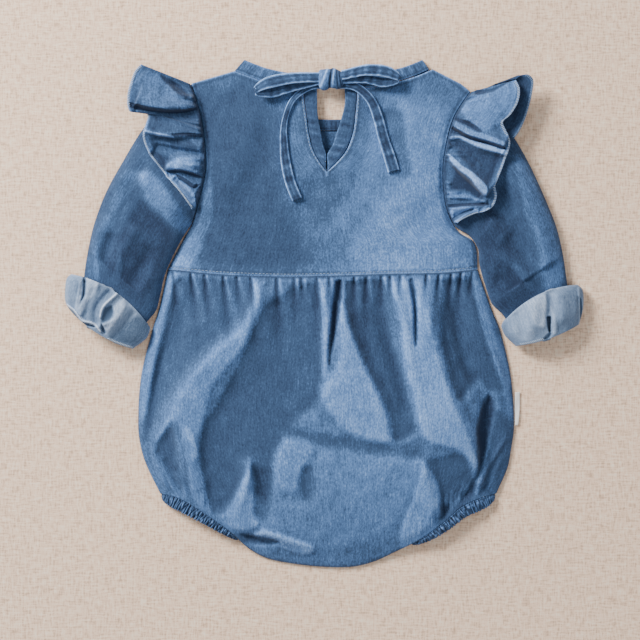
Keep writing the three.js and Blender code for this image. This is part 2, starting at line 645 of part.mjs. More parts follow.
// Neckband: its front half flat on the surface, its back in two halves that end at the keyhole
function neckStrip(rows, count, topAt) {
  const seam = curveOf(rows, ["x", "y", "top"]);
  const edge = curveOf(rows, ["bandX", "bandY", "top"]);
  return spaced(count, 0).map((t) => {
    const [low, high] = [seam.getPoint(t), edge.getPoint(t)];
    const start = low.clone().lerp(high, (1.5 * SEAM_GAP) / low.distanceTo(high));
    return [start, high].map((point, i) => facingAt(point.setZ(topAt(low.z, i)), 0, 0, 1));
  });
}
const frontStrip = neckStrip(frontNeck, NECK_STEPS, () => FOLDED_WALL);
addPiece("neckband_front", clothWall([frontStrip], FOLDED_WALL), denimInside);
const backBandTop = (seamTop) => seamTop + CLEARANCE;
const leftStrip = neckStrip(backNeckLeft, BACK_NECK_STEPS, backBandTop);
const rightStrip = neckStrip(backNeckRight, BACK_NECK_STEPS, backBandTop);
const neckbandLeft = addPiece("neckband_back_left", clothWall([leftStrip], FOLDED_WALL));
const neckbandRight = addPiece("neckband_back_right", clothWall([rightStrip], FOLDED_WALL));

// Bindings of the keyhole, from its tip up to the neckband
function bindingSheet(seam, edge, inward) {
  const top = keyhole.at(-1).y - 3 * SEAM_GAP;
  const bottom = keyhole[0].y + 10 * SEAM_GAP;
  return spaced(BINDING_STEPS, 0).map((t) => {
    const y = mix(bottom, top, t);
    const outer = read(keyhole, "y", y, seam) + inward * 2 * SEAM_GAP;
    const inner = read(keyhole, "y", y, edge);
    const low = inward * outer > inward * inner ? inner - inward * SEAM_GAP : outer;
    const places = [low, mix(low, inner, 0.5), inner];
    return places.map((x) => new THREE.Vector3(x, y, bodiceHeight(x, y) + SEAM_GAP));
  });
}
const leftBinding = bindingSheet("leftSeam", "leftEdge", 1);
const rightBinding = bindingSheet("rightSeam", "rightEdge", -1);
const bindingLeft = addPiece("keyhole_binding_left", clothWall([leftBinding], FOLDED_WALL));
const bindingRight = addPiece("keyhole_binding_right", clothWall([rightBinding], FOLDED_WALL));

// Flat tubes: a top that arches over a base, from edge to edge of each station
function tubeRing(topCount, baseCount) {
  const top = spaced(topCount, 0.6).map((across) => ({ across, upper: true }));
  const base = spaced(baseCount, 0.6).map((across) => ({ across: 1 - across, upper: false }));
  return [...top, ...base.slice(1, -1), top[0]];
}

function tubeHeight(across, upper, base, top, lift) {
  const wide = Math.abs(2 * across - 1);
  if (!upper) return base + lift * wide ** TUBE_TURN;
  return base + mix(lift, top, (1 - wide ** TUBE_ROUND) ** TUBE_SOFT);
}

function stationPoint(station, across) {
  const [dx, dy] = [station.innerX - station.outerX, station.innerY - station.outerY];
  const bow = (station.sag * 4 * across * (1 - across)) / Math.hypot(dx, dy);
  return new THREE.Vector2(
    station.outerX + dx * across - dy * bow,
    station.outerY + dy * across + dx * bow,
  );
}

function sleeve(side, stations, folds) {
  const out = side === "left" ? -1 : 1;
  const ring = tubeRing(TUBE_TOP, TUBE_BASE);
  const rows = stations.map((station, i) =>
    ring.map(({ across, upper }) => {
      const plan = stationPoint(station, across);
      if (i === 0) plan.x = sideX(side, plan.y) + 1.5 * out * SEAM_GAP;
      const lift = SLEEVE_SIDE * station.top;
      const free = upper && i > 0 && station.base === 0;
      const folded = free ? foldsAt(folds, plan.x, plan.y) * arch(across) : 0;
      return new THREE.Vector3(
        plan.x,
        plan.y,
        tubeHeight(across, upper, station.base, station.top, lift) + folded,
      );
    }),
  );
  return clothWall([rows], WALL, true);
}
const sleeveLeft = addPiece("sleeve_left", sleeve("left", leftSleeve, leftSleeveFolds));
const sleeveRight = addPiece("sleeve_right", sleeve("right", rightSleeve, rightSleeveFolds));

// Cuffs: the sleeve end rolled up with its inside out, in a loose ring round the sleeve
function cuff(stations) {
  const ring = tubeRing(TUBE_TOP, TUBE_BASE);
  const rows = stations.map((station) =>
    ring.map(({ across, upper }) => {
      const plan = stationPoint(station, across);
      return new THREE.Vector3(
        plan.x,
        plan.y,
        tubeHeight(across, upper, station.base, station.top, CUFF_SIDE * station.top),
      );
    }),
  );
  return clothWall([rows], ROLLED_WALL, true);
}
addPiece("cuff_left", cuff(leftCuff), denimInside);
addPiece("cuff_right", cuff(rightCuff), denimInside);

// Leg casings: a hem drawn up by elastic, all round each leg opening
function legCasing(from, to) {
  const upper = spaced(3 * CASING_GATHERS, 0).map((t) => ({ t, upper: true }));
  const base = spaced(CASING_BASE, 0.4).map((t) => ({ t: 1 - t, upper: false }));
  const ring = [...upper, ...base.slice(1, -1), upper[0]];
  const rows = [0, 0.55, 1].map((down) =>
    ring.map(({ t, upper }) => {
      const at = mix(from, to, t);
      const [edge, out] = [hemCurve.getPointAt(at), hemOutward(at)];
      const wide = Math.abs(2 * t - 1);
      const width = CASING_WIDTH * (1 - wide ** CASING_ENDS) ** 0.5 + CASING_LIP;
      const reach = 1.5 * SEAM_GAP + down * width;
      const turn = 2 * Math.PI * CASING_GATHERS * t;
      const ripple = CASING_GATHER_DEPTH * Math.cos(turn) * (1 - wide ** TUBE_TURN);
      const top = Math.max(edge.z - down * CASING_FALL, CASING_TOP);
      const arched = mix(CASING_SIDE, top, (1 - wide ** CASING_ENDS) ** 0.5);
      const z = upper ? arched + ripple : CASING_SIDE * wide ** TUBE_TURN;
      return new THREE.Vector3(edge.x + out.x * reach, edge.y + out.y * reach, z);
    }),
  );
  return clothWall([rows], WALL, true);
}
addPiece("leg_casing_left", legCasing(0.004, 0.245));
addPiece("leg_casing_right", legCasing(0.996, 0.735));

// Ruffles: gathered into the armhole seam, standing in waves over the sleeve
function ruffle(side, edges, bottomY) {
  const out = side === "left" ? -1 : 1;
  const below = side === "left" ? [backBodice, sleeveLeft] : [backBodice, sleeveRight];
  const edge = (at) => ["x", "y", "top"].map((column) => read(edges, "at", at, column));
  const rows = spaced(RUFFLE_ROWS, 0).map((t) => {
    const rootY = mix(shoulderTips[side].y - 0.5, bottomY, t);
    const rootX = sideX(side, rootY) + RUFFLE_ROOT * out;
    const [edgeX, edgeY, edgeZ] = edge(t);
    return spaced(RUFFLE_COLUMNS, 0).map((reach) => {
      const [x, y] = [mix(rootX, edgeX, reach), mix(rootY, edgeY, reach)];
      const seat = Math.max(...[-2, 0, 2].map((step) => topOf(below, x + step, y))) + WALL + CLEARANCE;
      const wave = mix(edgeTop(rootY) + WALL + CLEARANCE, edgeZ, reach ** RUFFLE_RISE);
      return new THREE.Vector3(x, y, Math.max(wave, seat));
    });
  });
  return clothWall([rows], WALL);
}
romper.updateMatrixWorld(true);
addPiece("ruffle_left", ruffle("left", leftRuffle, 91));
addPiece("ruffle_right", ruffle("right", rightRuffle, 79));

// Bow: a knot between the ends of the neckband, two loops and two tails
const knot = new THREE.SphereGeometry(1, KNOT_AROUND, KNOT_HIGH);
knot.scale(KNOT.halfX, KNOT.halfY, KNOT.halfZ);
knot.translate(KNOT.x, KNOT.y, KNOT.z);
addPiece("tie_knot", knot);

function tieLoop(rows) {
  const [path, half] = [curveOf(rows, ["x", "y", "z"]), curveOf(rows, ["half"])];
  const away = Math.sign(rows[3].x - rows[0].x);
  const lean = new THREE.Vector3(LOOP_LEAN, away, 0).normalize();
  const sheet = spaced(LOOP_STEPS, 0).map((t) => {
    const centre = path.getPoint(t);
    return [-1, 1].map((edge) => centre.clone().addScaledVector(lean, edge * half.getPoint(t).x));
  });
  return clothWall([sheet], FOLDED_WALL, true);
}
addPiece("tie_loop_left", tieLoop(leftLoop));
addPiece("tie_loop_right", tieLoop(rightLoop));

function tieTail(rows) {
  const below = [backBodice, neckbandLeft, neckbandRight, bindingLeft, bindingRight];
  const [path, half] = [curveOf(rows, ["x", "y"]), curveOf(rows, ["half"])];
  const sheet = spaced(TAIL_STEPS, 0).map((t) => {
    const centre = path.getPoint(t);
    const along = path.getTangent(t);
    const side = new THREE.Vector3(-along.y, along.x, 0).multiplyScalar(half.getPoint(t).x);
    const edges = [-1, 0, 1].map((edge) => centre.clone().addScaledVector(side, edge));
    const seat = Math.max(...[-1.2, -0.6, 0, 0.6, 1.2].map((edge) => {
      const at = centre.clone().addScaledVector(side, edge);
      return Math.max(...[-3, 0, 3].map((step) => topOf(below, at.x, at.y + step)));
    }));
    return edges.map((point) => point.setZ(seat + CLEARANCE + FOLDED_WALL));
  });
  return clothWall([sheet], FOLDED_WALL);
}
addPiece("tie_tail_left", tieTail(leftTail));
addPiece("tie_tail_right", tieTail(rightTail));

// Label: a small blank tab caught in the right side seam
const labelX = sideX("right", LABEL_TOP_Y - LABEL_LENGTH / 2) + SEAM_GAP;
const label = new THREE.BoxGeometry(LABEL_WIDTH, LABEL_LENGTH, LABEL_THICK);
label.translate(labelX + LABEL_WIDTH / 2 + LABEL_STEP, LABEL_TOP_Y - LABEL_LENGTH / 2, LABEL_THICK);
addPiece("side_label", label, labelWhite);

export default romper;
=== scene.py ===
"""A baby's bubble romper in washed denim, laid flat on its front with its back up, seen from above."""

import math

import bpy
import numpy as np
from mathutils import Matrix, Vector, noise
from mathutils.bvhtree import BVHTree


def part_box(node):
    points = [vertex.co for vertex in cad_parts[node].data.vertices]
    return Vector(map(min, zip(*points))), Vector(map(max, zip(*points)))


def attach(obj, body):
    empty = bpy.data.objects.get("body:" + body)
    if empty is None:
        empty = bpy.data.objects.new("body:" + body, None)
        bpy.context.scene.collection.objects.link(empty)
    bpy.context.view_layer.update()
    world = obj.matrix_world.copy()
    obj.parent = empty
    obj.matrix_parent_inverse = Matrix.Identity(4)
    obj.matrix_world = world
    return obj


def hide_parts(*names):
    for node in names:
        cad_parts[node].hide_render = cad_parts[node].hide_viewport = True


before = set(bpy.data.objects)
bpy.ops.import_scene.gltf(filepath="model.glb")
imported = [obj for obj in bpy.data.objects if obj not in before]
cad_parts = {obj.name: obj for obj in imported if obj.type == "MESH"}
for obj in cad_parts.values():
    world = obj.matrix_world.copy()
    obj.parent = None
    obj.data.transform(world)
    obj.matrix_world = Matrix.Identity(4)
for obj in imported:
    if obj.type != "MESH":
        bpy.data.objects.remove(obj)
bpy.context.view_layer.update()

# Every size below is in millimetres, times this to be in metres
MM = 0.001

# End of the name of each cloth piece
CLOTH = "_cloth"

# Thickness of one layer, a front panel, a folded band, a rolled cuff and the label
WALL = 1.1 * MM
FRONT_WALL = 1 * MM
BAND_WALL = 1.5 * MM
CUFF_WALL = 2.2 * MM
LABEL_WALL = 0.8 * MM

# Heights over the floor: outer edges of the back, top of the front panels, middle of the bodice
FOOT = 1.5 * MM
FRONT_TOP = 1.15 * MM
BODICE_CROWN = 9.5 * MM

# Waist seam, keyhole and leg hems
SEAM_GAP = 0.1 * MM
KEYHOLE_X = 2.2 * MM
HEM_LENGTH = 420 * MM
CASING_WIDTH = 9.5 * MM
CASING_GATHERS = 27

# Places on a fold's line and on an area's border, and how close points are joined
FOLD_STEPS = 60
AREA_STEPS = 160
WELD = 0.01 * MM

# Where a look down at the pieces starts, over all of them
ABOVE = 100 * MM


def table(columns, *rows):
    """Rows of millimetres as named columns of metres."""
    names = columns.split()
    return {name: np.array([row[i] for row in rows], float) * MM for i, name in enumerate(names)}


# Sides of the garment from the hem to the shoulder, and the height of the bodice's edge
BODY_SIDES = table(
    "y left right",
    (-156, -142.5, 149.5),
    (-134, -153.5, 159.2),
    (-118, -159, 162.4),
    (-98, -161.8, 165),
    (-55, -159.3, 162.3),
    (-16, -149.9, 153.3),
    (6, -143.2, 144.8),
    (38.5, -136, 133.3),
)
BODICE_SIDES = table(
    "y left right top",
    (38.5, -136, 133.3, 1.5),
    (55, -127.6, 132.4, 1.5),
    (64, -122.8, 128.6, 1.5),
    (70, -119.4, 118.6, 1.5),
    (77, -115.3, 112.6, 2.2),
    (95, -109.6, 105.1, 5.6),
    (125, -102.6, 102.7, 7.3),
    (150, -103.6, 106.2, 7.3),
    (170, -106.4, 112.2, 5.9),
    (185, -110.4, 120.9, 4.3),
    (200, -115.3, 132, 3.1),
)
WAIST = table(
    "x y",
    (-136, 38.5),
    (-87.5, 34),
    (-35, 32.1),
    (14, 33),
    (62, 34.5),
    (101, 35.4),
    (133.3, 38.5),
)
HEM = table(
    "x y z",
    (-142.5, -156, 3.2),
    (-125, -160.5, 7.5),
    (-103, -173.5, 9.5),
    (-81, -189.5, 8),
    (-66, -203.5, 4),
    (-49, -212.8, 1.6),
    (-26, -217.4, 1.6),
    (0, -220.1, 1.6),
    (24, -220, 1.6),
    (43, -215.5, 1.6),
    (60, -207.5, 4),
    (82, -196, 8),
    (102, -182, 9.5),
    (118, -168, 9),
    (134, -160.5, 7),
    (149.5, -156, 3.2),
)
# Neck edge of the back, and the top edge of the neckband sewn to it
NECK_LEFT = table(
    "x y z band_x band_y",
    (-77.9, 210.8, 3.6, -69.3, 220.5),
    (-64, 205.6, 4.5, -59.5, 216.5),
    (-52, 201.4, 5.4, -48.5, 212.6),
    (-30, 196.8, 6.7, -28.5, 208.4),
    (-6.3, 195, 7.2, -6.3, 205.4),
)
NECK_RIGHT = table(
    "x y z band_x band_y",
    (18, 195, 7.2, 17.6, 206.2),
    (44, 196.8, 6.7, 41.5, 208.2),
    (69.4, 203.4, 5.2, 63, 212.4),
    (81, 207.6, 4.5, 74.5, 216),
    (91, 212.2, 3.6, 85.2, 220.5),
)
FRONT_NECK = table(
    "x y z band_x band_y",
    (-77.9, 210.8, 1.7, -69.3, 220.5),
    (-67, 187, 1.7, -57.5, 193),
    (-47, 169.5, 1.7, -41, 177.3),
    (-21, 161, 1.7, -18.5, 170.2),
    (6, 159, 1.7, 6, 168.8),
    (33, 161, 1.7, 30.5, 170.2),
    (60, 169.5, 1.7, 54, 177.3),
    (80, 187, 1.7, 71, 193),
    (91, 212.2, 1.7, 85.2, 220.5),
)
KEYHOLE = table(
    "y left_seam right_seam left_edge right_edge",
    (122.8, 2.2, 2.2, 1.5, 2.9),
    (130, -3.2, 10, 1.5, 2.9),
    (138.7, -8.6, 17.6, 1.5, 2.9),
    (146, -11.4, 21.6, -1, 7.2),
    (157, -13.8, 25.2, -2.9, 10.8),
    (173, -15.9, 27.4, -5.7, 15.8),
    (184, -17.6, 28.4, -6.2, 18),
    (196, -18.9, 28.9, -6.4, 17.6),
)


def read(rows, along, at, column):
    """One column of a table at places between its rows, along a smooth curve through them."""
    x, y = rows[along], rows[column]
    slope = np.empty_like(y)
    slope[1:-1] = (y[2:] - y[:-2]) / (x[2:] - x[:-2])
    slope[0] = (y[1] - y[0]) / (x[1] - x[0])
    slope[-1] = (y[-1] - y[-2]) / (x[-1] - x[-2])
    i = np.clip(np.searchsorted(x, at, side="right") - 1, 0, len(x) - 2)
    step = x[i + 1] - x[i]
    t = np.clip((at - x[i]) / step, 0, 1)
    start, end, rise = slope[i] * step, slope[i + 1] * step, y[i + 1] - y[i]
    return y[i] + t * (start + t * (3 * rise - 2 * start - end + t * (start + end - 2 * rise)))


def lengths_along(line):
    """How far along a line each of its points is."""
    return np.concatenate([[0], np.cumsum(np.linalg.norm(np.diff(line, axis=0), axis=1))])


def curve(points, count=600):
    """A smooth line through points, as evenly spaced places on it."""
    p = np.asarray(points, float)
    p = np.vstack([2 * p[0] - p[1], p, 2 * p[-1] - p[-2]])
    parts = []
    for i in range(1, len(p) - 2):
        t = np.linspace(0, 1, 40, endpoint=i == len(p) - 3)[:, None]
        a, b, c, d = p[i - 1], p[i], p[i + 1], p[i + 2]
        parts.append(
            0.5 * (2 * b + (c - a) * t + (2 * a - 5 * b + 4 * c - d) * t**2 + (3 * b - a - 3 * c + d) * t**3)
        )
    line = np.vstack(parts)
    far = lengths_along(line)
    at = np.linspace(0, far[-1], count)
    return np.column_stack([np.interp(at, far, line[:, k]) for k in range(line.shape[1])])


def on_curve(line, t):
    """Places on a line, from 0 at its start to 1 at its end."""
    at = np.asarray(t) * (len(line) - 1)
    return np.stack([np.interp(at, np.arange(len(line)), line[:, k]) for k in range(line.shape[1])], -1)


def line_through(rows, columns):
    """A smooth line through some columns of a table."""
    return curve(np.column_stack([rows[name] for name in columns.split()]))


def point_at(line, far, at):
    """The place on a line at one length along it."""
    return np.array([np.interp(at, far, line[:, k]) for k in range(line.shape[1])])


def unit(arrow):
    """The same direction, 1 long."""
    return arrow / np.linalg.norm(arrow)


def mix(a, b, t):
    """From a to b as t goes from 0 to 1."""
    return a + (b - a) * t


def smooth(at, low, high):
    """An easy rise from 0 at the low place to 1 at the high one."""
    t = np.clip((at - low) / (high - low), 0, 1)
    return t * t * (3 - 2 * t)


def bell(far, width):
    """1 on a line, fading on both sides of it."""
    return np.exp(-((far / width) ** 2))


def spaced(t, drawn):
    """Steps drawn towards both ends."""
    return mix(t, 0.5 - 0.5 * np.cos(np.pi * t), drawn)


def both_ways(rows, columns):
    """Steps from 0 to 1 both ways over a piece, as two grids."""
    return np.meshgrid(np.linspace(0, 1, rows), np.linspace(0, 1, columns), indexing="ij")


def split_steps(split, before, after):
    """Steps from 0 to 1, one of them at a split."""
    return np.concatenate([np.linspace(0, split, before + 1), np.linspace(split, 1, after + 1)[1:]])


def arch(across):
    """0 at both edges of a panel and 1 over most of it."""
    return (1 - np.abs(2 * across - 1) ** 3.5) ** 0.7


def rounded(across, power):
    """A round back over a narrow band: low at both edges and 1 along the middle."""
    return np.sin(np.pi * np.clip(across, 0.02, 0.98)) ** power


def ripple(x, y, scale, seed):
    """Soft unevenness from -1 to 1 at each place."""
    places = zip(np.ravel(x), np.ravel(y))
    return np.reshape([noise.noise(Vector((a * scale, b * scale, seed))) for a, b in places], np.shape(x))


def puckers(along, away, pitch, reach, depth, seed):
    """Small puckers that a row of stitches draws up, fading with the distance from it."""
    wave = ripple(along, away, 1 / pitch, seed) + 0.5 * ripple(along, away, 2.1 / pitch, seed + 5)
    return depth * wave * bell(away, reach)


def creases(x, y, fineness, turn, stretch, seed):
    """Soft uneven wrinkles that run one way."""
    u = (x * math.cos(turn) + y * math.sin(turn)) / stretch
    v = -x * math.sin(turn) + y * math.cos(turn)
    return ripple(u, v, fineness, seed) + 0.4 * ripple(u * 2, v * 2, fineness, seed + 3)


def crease_layers(x, y, *layers):
    """Wrinkles of several sizes: the depth, fineness, turn, stretch and seed of each."""
    return MM * sum(depth * creases(x, y, *layer) for depth, *layer in layers)


def fold(high, low_side, high_side, *points, start=0.15, end=0.3):
    """A ridge, or a trough if its height is negative, with its own width on either side of its line."""
    return {
        "line": curve(np.array(points, float) * MM, FOLD_STEPS),
        "high": high * MM,
        "low_side": low_side * MM,
        "high_side": high_side * MM,
        "start": start,
        "end": end,
    }


def area(tone, soft, *points):
    """A broad part of the cloth with a soft border; above 0 it is proud and painted pale as lit, below 0
    deep and painted dark as shaded.
    """
    outline = curve(np.array([*points, points[0]]) * MM, AREA_STEPS)
    return {"tone": tone, "soft": soft * MM, "outline": outline}


def hem_line(*points):
    """The free edge of a ruffle."""
    return curve(np.array(points, float) * MM)


def places_near(line, reach, x, y):
    """Which places lie in the box round a line."""
    low, high = line.min(0) - reach, line.max(0) + reach
    return np.flatnonzero((x > low[0]) & (x < high[0]) & (y > low[1]) & (y < high[1]))


def tone_at(areas, x, y):
    """How pale with painted light, and how dark with painted shade, the broad areas make each place."""
    shape, x, y = x.shape, x.ravel(), y.ravel()
    total = np.zeros_like(x)
    for part in areas:
        line, soft = part["outline"], part["soft"]
        near = places_near(line, soft, x, y)
        px, py = x[near, None], y[near, None]
        ax, ay, bx, by = line[:-1, 0], line[:-1, 1], line[1:, 0], line[1:, 1]
        crossed = (ay > py) != (by > py)
        rise = np.where(by == ay, 1, by - ay)
        inside = (crossed & (px < ax + (py - ay) * (bx - ax) / rise)).sum(1) % 2 > 0
        distance = np.hypot(px - ax, py - ay).min(1) * np.where(inside, 1, -1)
        total[near] += part["tone"] * smooth(distance, -0.5 * soft, 0.5 * soft)
    return total.reshape(shape)


def folds_at(folds, x, y):
    """The height that folds add at each place."""
    shape, x, y = x.shape, x.ravel(), y.ravel()
    total = np.zeros_like(x)
    for one in folds:
        line = one["line"]
        near = places_near(line, 3 * max(one["low_side"], one["high_side"]), x, y)
        if not len(near):
            continue
        offset = np.stack([x[near], y[near]], -1)[:, None] - line[None]
        i = np.hypot(offset[..., 0], offset[..., 1]).argmin(1)
        offset = offset[np.arange(len(near)), i]
        step = np.gradient(line, axis=0)[i]
        size = np.hypot(step[:, 0], step[:, 1])
        beyond = (offset * step).sum(1) / size
        side = (step[:, 0] * offset[:, 1] - step[:, 1] * offset[:, 0]) / size
        t = (i + beyond / size) / (len(line) - 1)
        past = np.where((t < 0) | (t > 1), np.abs(beyond), 0)
        wide = np.where(side > 0, one["high_side"], one["low_side"])
        fade = smooth(t, -0.02, one["start"]) * smooth(1 - t, -0.02, one["end"])
        total[near] += one["high"] * fade * np.exp(-((side**2 + past**2) / wide**2))
    return total.reshape(shape)


def blur(grid, times):
    """A grid of heights with each place averaged with its neighbours, some number of times."""
    for _ in range(times):
        wide = np.pad(grid, 1, mode="edge")
        grid = (wide[:-2, 1:-1] + wide[2:, 1:-1] + wide[1:-1, :-2] + wide[1:-1, 2:] + 4 * grid) / 8
    return grid


def wear_and_crease_shade(sheet, times=30, strength=0.28):
    """Pale worn ridges and painted shade in the creases: how far each place stands over its surroundings."""
    z = sheet[..., 2]
    return np.clip(0.5 + strength * (z - blur(z, times)) / MM, 0, 1)


def cloth_lengths(sheet):
    """Lengths along the cloth in both ways of its grid, as its UV map."""
    across = np.linalg.norm(np.diff(sheet, axis=1), axis=2).mean(0)
    down = np.linalg.norm(np.diff(sheet, axis=0), axis=2).mean(1)
    u = np.concatenate([[0], np.cumsum(across)])
    v = np.concatenate([[0], np.cumsum(down)])
    return np.stack(np.meshgrid(u, v), -1)


def new_piece(name, points, faces):
    """A mesh in the scene, selected alone."""
    mesh = bpy.data.meshes.new(name)
    mesh.from_pydata(points, [], faces)
    piece = bpy.data.objects.new(name, mesh)
    bpy.context.collection.objects.link(piece)
    bpy.ops.object.select_all(action="DESELECT")
    piece.select_set(True)
    bpy.context.view_layer.objects.active = piece
    return piece


def edit_all(operator, **settings):
    """One mesh operator on the whole of the active piece."""
    bpy.ops.object.mode_set(mode="EDIT")
    bpy.ops.mesh.select_all(action="SELECT")
    operator(**settings)
    bpy.ops.object.mode_set(mode="OBJECT")


def finished(piece, material, node=None):
    """The piece on the one body, with its material, in the place of a node where one is named."""
    bpy.ops.object.shade_smooth()
    piece.data.materials.clear()
    piece.data.materials.append(material)
    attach(piece, "root")
    if node:
        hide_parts(node)
    return piece


def cloth(name, parts, wall, material, tube=False):
    """A wall of cloth under one or more grids of outer points, each with its tone of wear and painted light
    and shade, for one solid.
    """
    points, lengths, faces, start = [], [], [], 0
    for sheet, _ in parts:
        rows, columns = sheet.shape[:2]
        ids = np.arange(rows * columns).reshape(rows, columns) + start
        corners = [ids[:-1, :-1], ids[:-1, 1:], ids[1:, 1:], ids[1:, :-1]]
        faces.append(np.stack(corners, -1).reshape(-1, 4))
        points.append(sheet.reshape(-1, 3))
        lengths.append(cloth_lengths(sheet).reshape(-1, 2))
        start += rows * columns
    points, lengths, faces = np.vstack(points), np.vstack(lengths), np.vstack(faces)
    a, b, c = (points[faces[:, i]] for i in (0, 1, 2))
    square = np.cross(b - a, c - b)
    out = (square * (a - points.mean(0))).sum() if tube else square[:, 2].sum()
    if out < 0:
        faces = faces[:, ::-1]
    piece = new_piece(name + CLOTH, points.tolist(), faces.tolist())
    uv = piece.data.uv_layers.new(name="cloth")
    uv.data.foreach_set("uv", lengths[faces.ravel()].astype(np.float32).ravel())
    # Tone of each place: wear, painted highlight on proud parts and painted shade in creases and hollows
    wear_and_shade = piece.data.attributes.new("wear_and_shade", "FLOAT", "POINT")
    wear_and_shade.data.foreach_set("value", np.concatenate([part[1].ravel() for part in parts]).astype(np.float32))
    edit_all(bpy.ops.mesh.remove_doubles, threshold=WELD)
    thickness = piece.modifiers.new("wall", "SOLIDIFY")
    thickness.thickness = wall
    thickness.offset = -1
    bpy.ops.object.modifier_apply(modifier="wall")
    return finished(piece, material, name)


class Surface:
    """The upper face of some pieces, to lay others on."""

    def __init__(self, *pieces):
        depsgraph = bpy.context.evaluated_depsgraph_get()
        self.trees = [BVHTree.FromObject(piece, depsgraph) for piece in pieces]

    def height(self, x, y):
        """The highest point of the pieces at one place, or the floor."""
        down = Vector((0, 0, -1))
        high = 0.0
        for tree in self.trees:
            hit = tree.ray_cast(Vector((x, y, ABOVE)), down)[0]
            if hit:
                high = max(high, hit.z)
        return high

    def heights(self, x, y):
        flat = [self.height(a, b) for a, b in zip(np.ravel(x), np.ravel(y))]
        return np.array(flat).reshape(np.shape(x))


class Finish:
    """A material with a short way to add its nodes."""

    def __init__(self, name):
        self.material = bpy.data.materials.new(name)
        self.material.use_nodes = True
        self.tree = self.material.node_tree
        self.shader = self.tree.nodes["Principled BSDF"]

    def feed(self, socket, value):
        if isinstance(value, bpy.types.NodeSocket):
            self.tree.links.new(value, socket)
        else:
            socket.default_value = value

    def node(self, kind, **inputs):
        made = self.tree.nodes.new("ShaderNode" + kind)
        for name, value in inputs.items():
            self.feed(made.inputs[name], value)
        return made

    def place(self, kind="Object"):
        return self.node("TexCoord").outputs[kind]

    def stretched(self, source, scale, turn=0.0):
        mapping = self.node("Mapping", Vector=source, Scale=scale)
        mapping.inputs["Rotation"].default_value[2] = turn
        return mapping.outputs["Vector"]

    def noise(self, source, scale, detail=3.0, rough=0.6):
        made = self.node("TexNoise", Vector=source, Scale=scale, Detail=detail, Roughness=rough)
        return made.outputs["Fac"]

    def math(self, operation, a, b=0.0):
        made = self.node("Math")
        made.operation = operation
        for socket, value in zip(made.inputs, (a, b)):
            self.feed(socket, value)
        return made.outputs["Value"]

    def ramp(self, factor, *stops):
        made = self.node("ValToRGB", Fac=factor)
        while len(made.color_ramp.elements) < len(stops):
            made.color_ramp.elements.new(0.5)
        for element, (place, colour) in zip(made.color_ramp.elements, stops):
            element.position = place
            element.color = (*colour, 1)
        return made.outputs["Color"]

    def bump(self, height, distance, strength, under=None):
        made = self.node("Bump", Height=height, Distance=distance, Strength=strength)
        if under:
            self.feed(made.inputs["Normal"], under)
        return made.outputs["Normal"]

    def done(self, colour, normal, roughness, sheen):
        settings = {
            "Base Color": colour,
            "Normal": normal,
            "Roughness": roughness,
            "Specular IOR Level": 0.2,
            "Sheen Weight": sheen,
            "Sheen Roughness": 0.5,
        }
        for name, value in settings.items():
            self.feed(self.shader.inputs[name], value)
        return self.material


def denim(name, deep, mid, washed_and_lit, worn_and_highlit, twill=0.35):
    """Twill with slubs along its warp, a cloudy fade from washing, pale worn ridges with painted highlight,
    and painted shade in the creases.
    """
    f = Finish(name)
    cloth_map = f.place("UV")
    slub = f.noise(f.stretched(cloth_map, (620, 75, 1)), 1.0, 3.0, 0.65)
    speckle = f.noise(f.stretched(cloth_map, (820, 430, 1)), 1.0, 3.0, 0.75)
    cloud = f.noise(f.stretched(f.place(), (14, 11, 14), 0.5), 1.0, 4.0, 0.55)
    mottle = f.noise(f.place(), 95.0, 4.0, 0.65)
    # The tone of wear and painted light and shade that each piece carries
    wear_and_shade = f.node("Attribute")
    wear_and_shade.attribute_name = "wear_and_shade"
    tone = wear_and_shade.outputs["Fac"]
    for grain, strength in ((slub, 0.5), (speckle, 0.85), (cloud, 0.3), (mottle, 0.3)):
        uneven = f.math("SUBTRACT", grain, 0.5)
        tone = f.math("ADD", tone, f.math("MULTIPLY", uneven, strength))
    # Dark end for painted shade and dark cloth, pale ends for wear and painted highlight
    colour = f.ramp(tone, (0.05, deep), (0.42, mid), (0.68, washed_and_lit), (0.98, worn_and_highlit))
    lines = f.node("TexWave", Vector=f.stretched(cloth_map, (1, 1, 1), 0.9), Scale=330.0, Distortion=1.2)
    normal = f.bump(lines.outputs["Fac"], 0.00012, twill)
    normal = f.bump(speckle, 0.00018, 0.5, normal)
    normal = f.bump(mottle, 0.0004, 0.35, normal)
    return f.done(colour, normal, 0.88, 0.12)


def plain_thread(name, colour, roughness=0.75):
    """Sewing thread with short fibres."""
    f = Finish(name)
    fibre = f.noise(f.place(), 1800.0, 2.0)
    shade = tuple(0.62 * c for c in colour)
    return f.done(f.ramp(fibre, (0.3, shade), (0.65, colour)), f.bump(fibre, 0.00008, 0.6), roughness, 0.2)


def pale_floor(low, mid, high):
    """The plain pale floor, with the faint grain of a linen backdrop."""
    f = Finish("pale_floor")
    across = f.noise(f.stretched(f.place(), (110, 640, 1)), 1.0, 3.0, 0.65)
    along = f.noise(f.stretched(f.place(), (640, 110, 1)), 1.0, 3.0, 0.65)
    grain = f.math("MULTIPLY", f.math("ADD", across, along), 0.5)
    colour = f.ramp(grain, (0.37, low), (0.5, mid), (0.63, high))
    return f.done(colour, f.bump(grain, 0.0003, 0.3), 0.95, 0.0)


def label_tape():
    """White woven tape."""
    f = Finish("label_tape")
    weave = f.node("TexWave", Vector=f.place(), Scale=260.0).outputs["Fac"]
    colour = f.ramp(weave, (0.2, (0.74, 0.73, 0.7)), (0.7, (0.86, 0.85, 0.82)))
    return f.done(colour, f.bump(weave, 0.0001, 0.4), 0.6, 0.1)


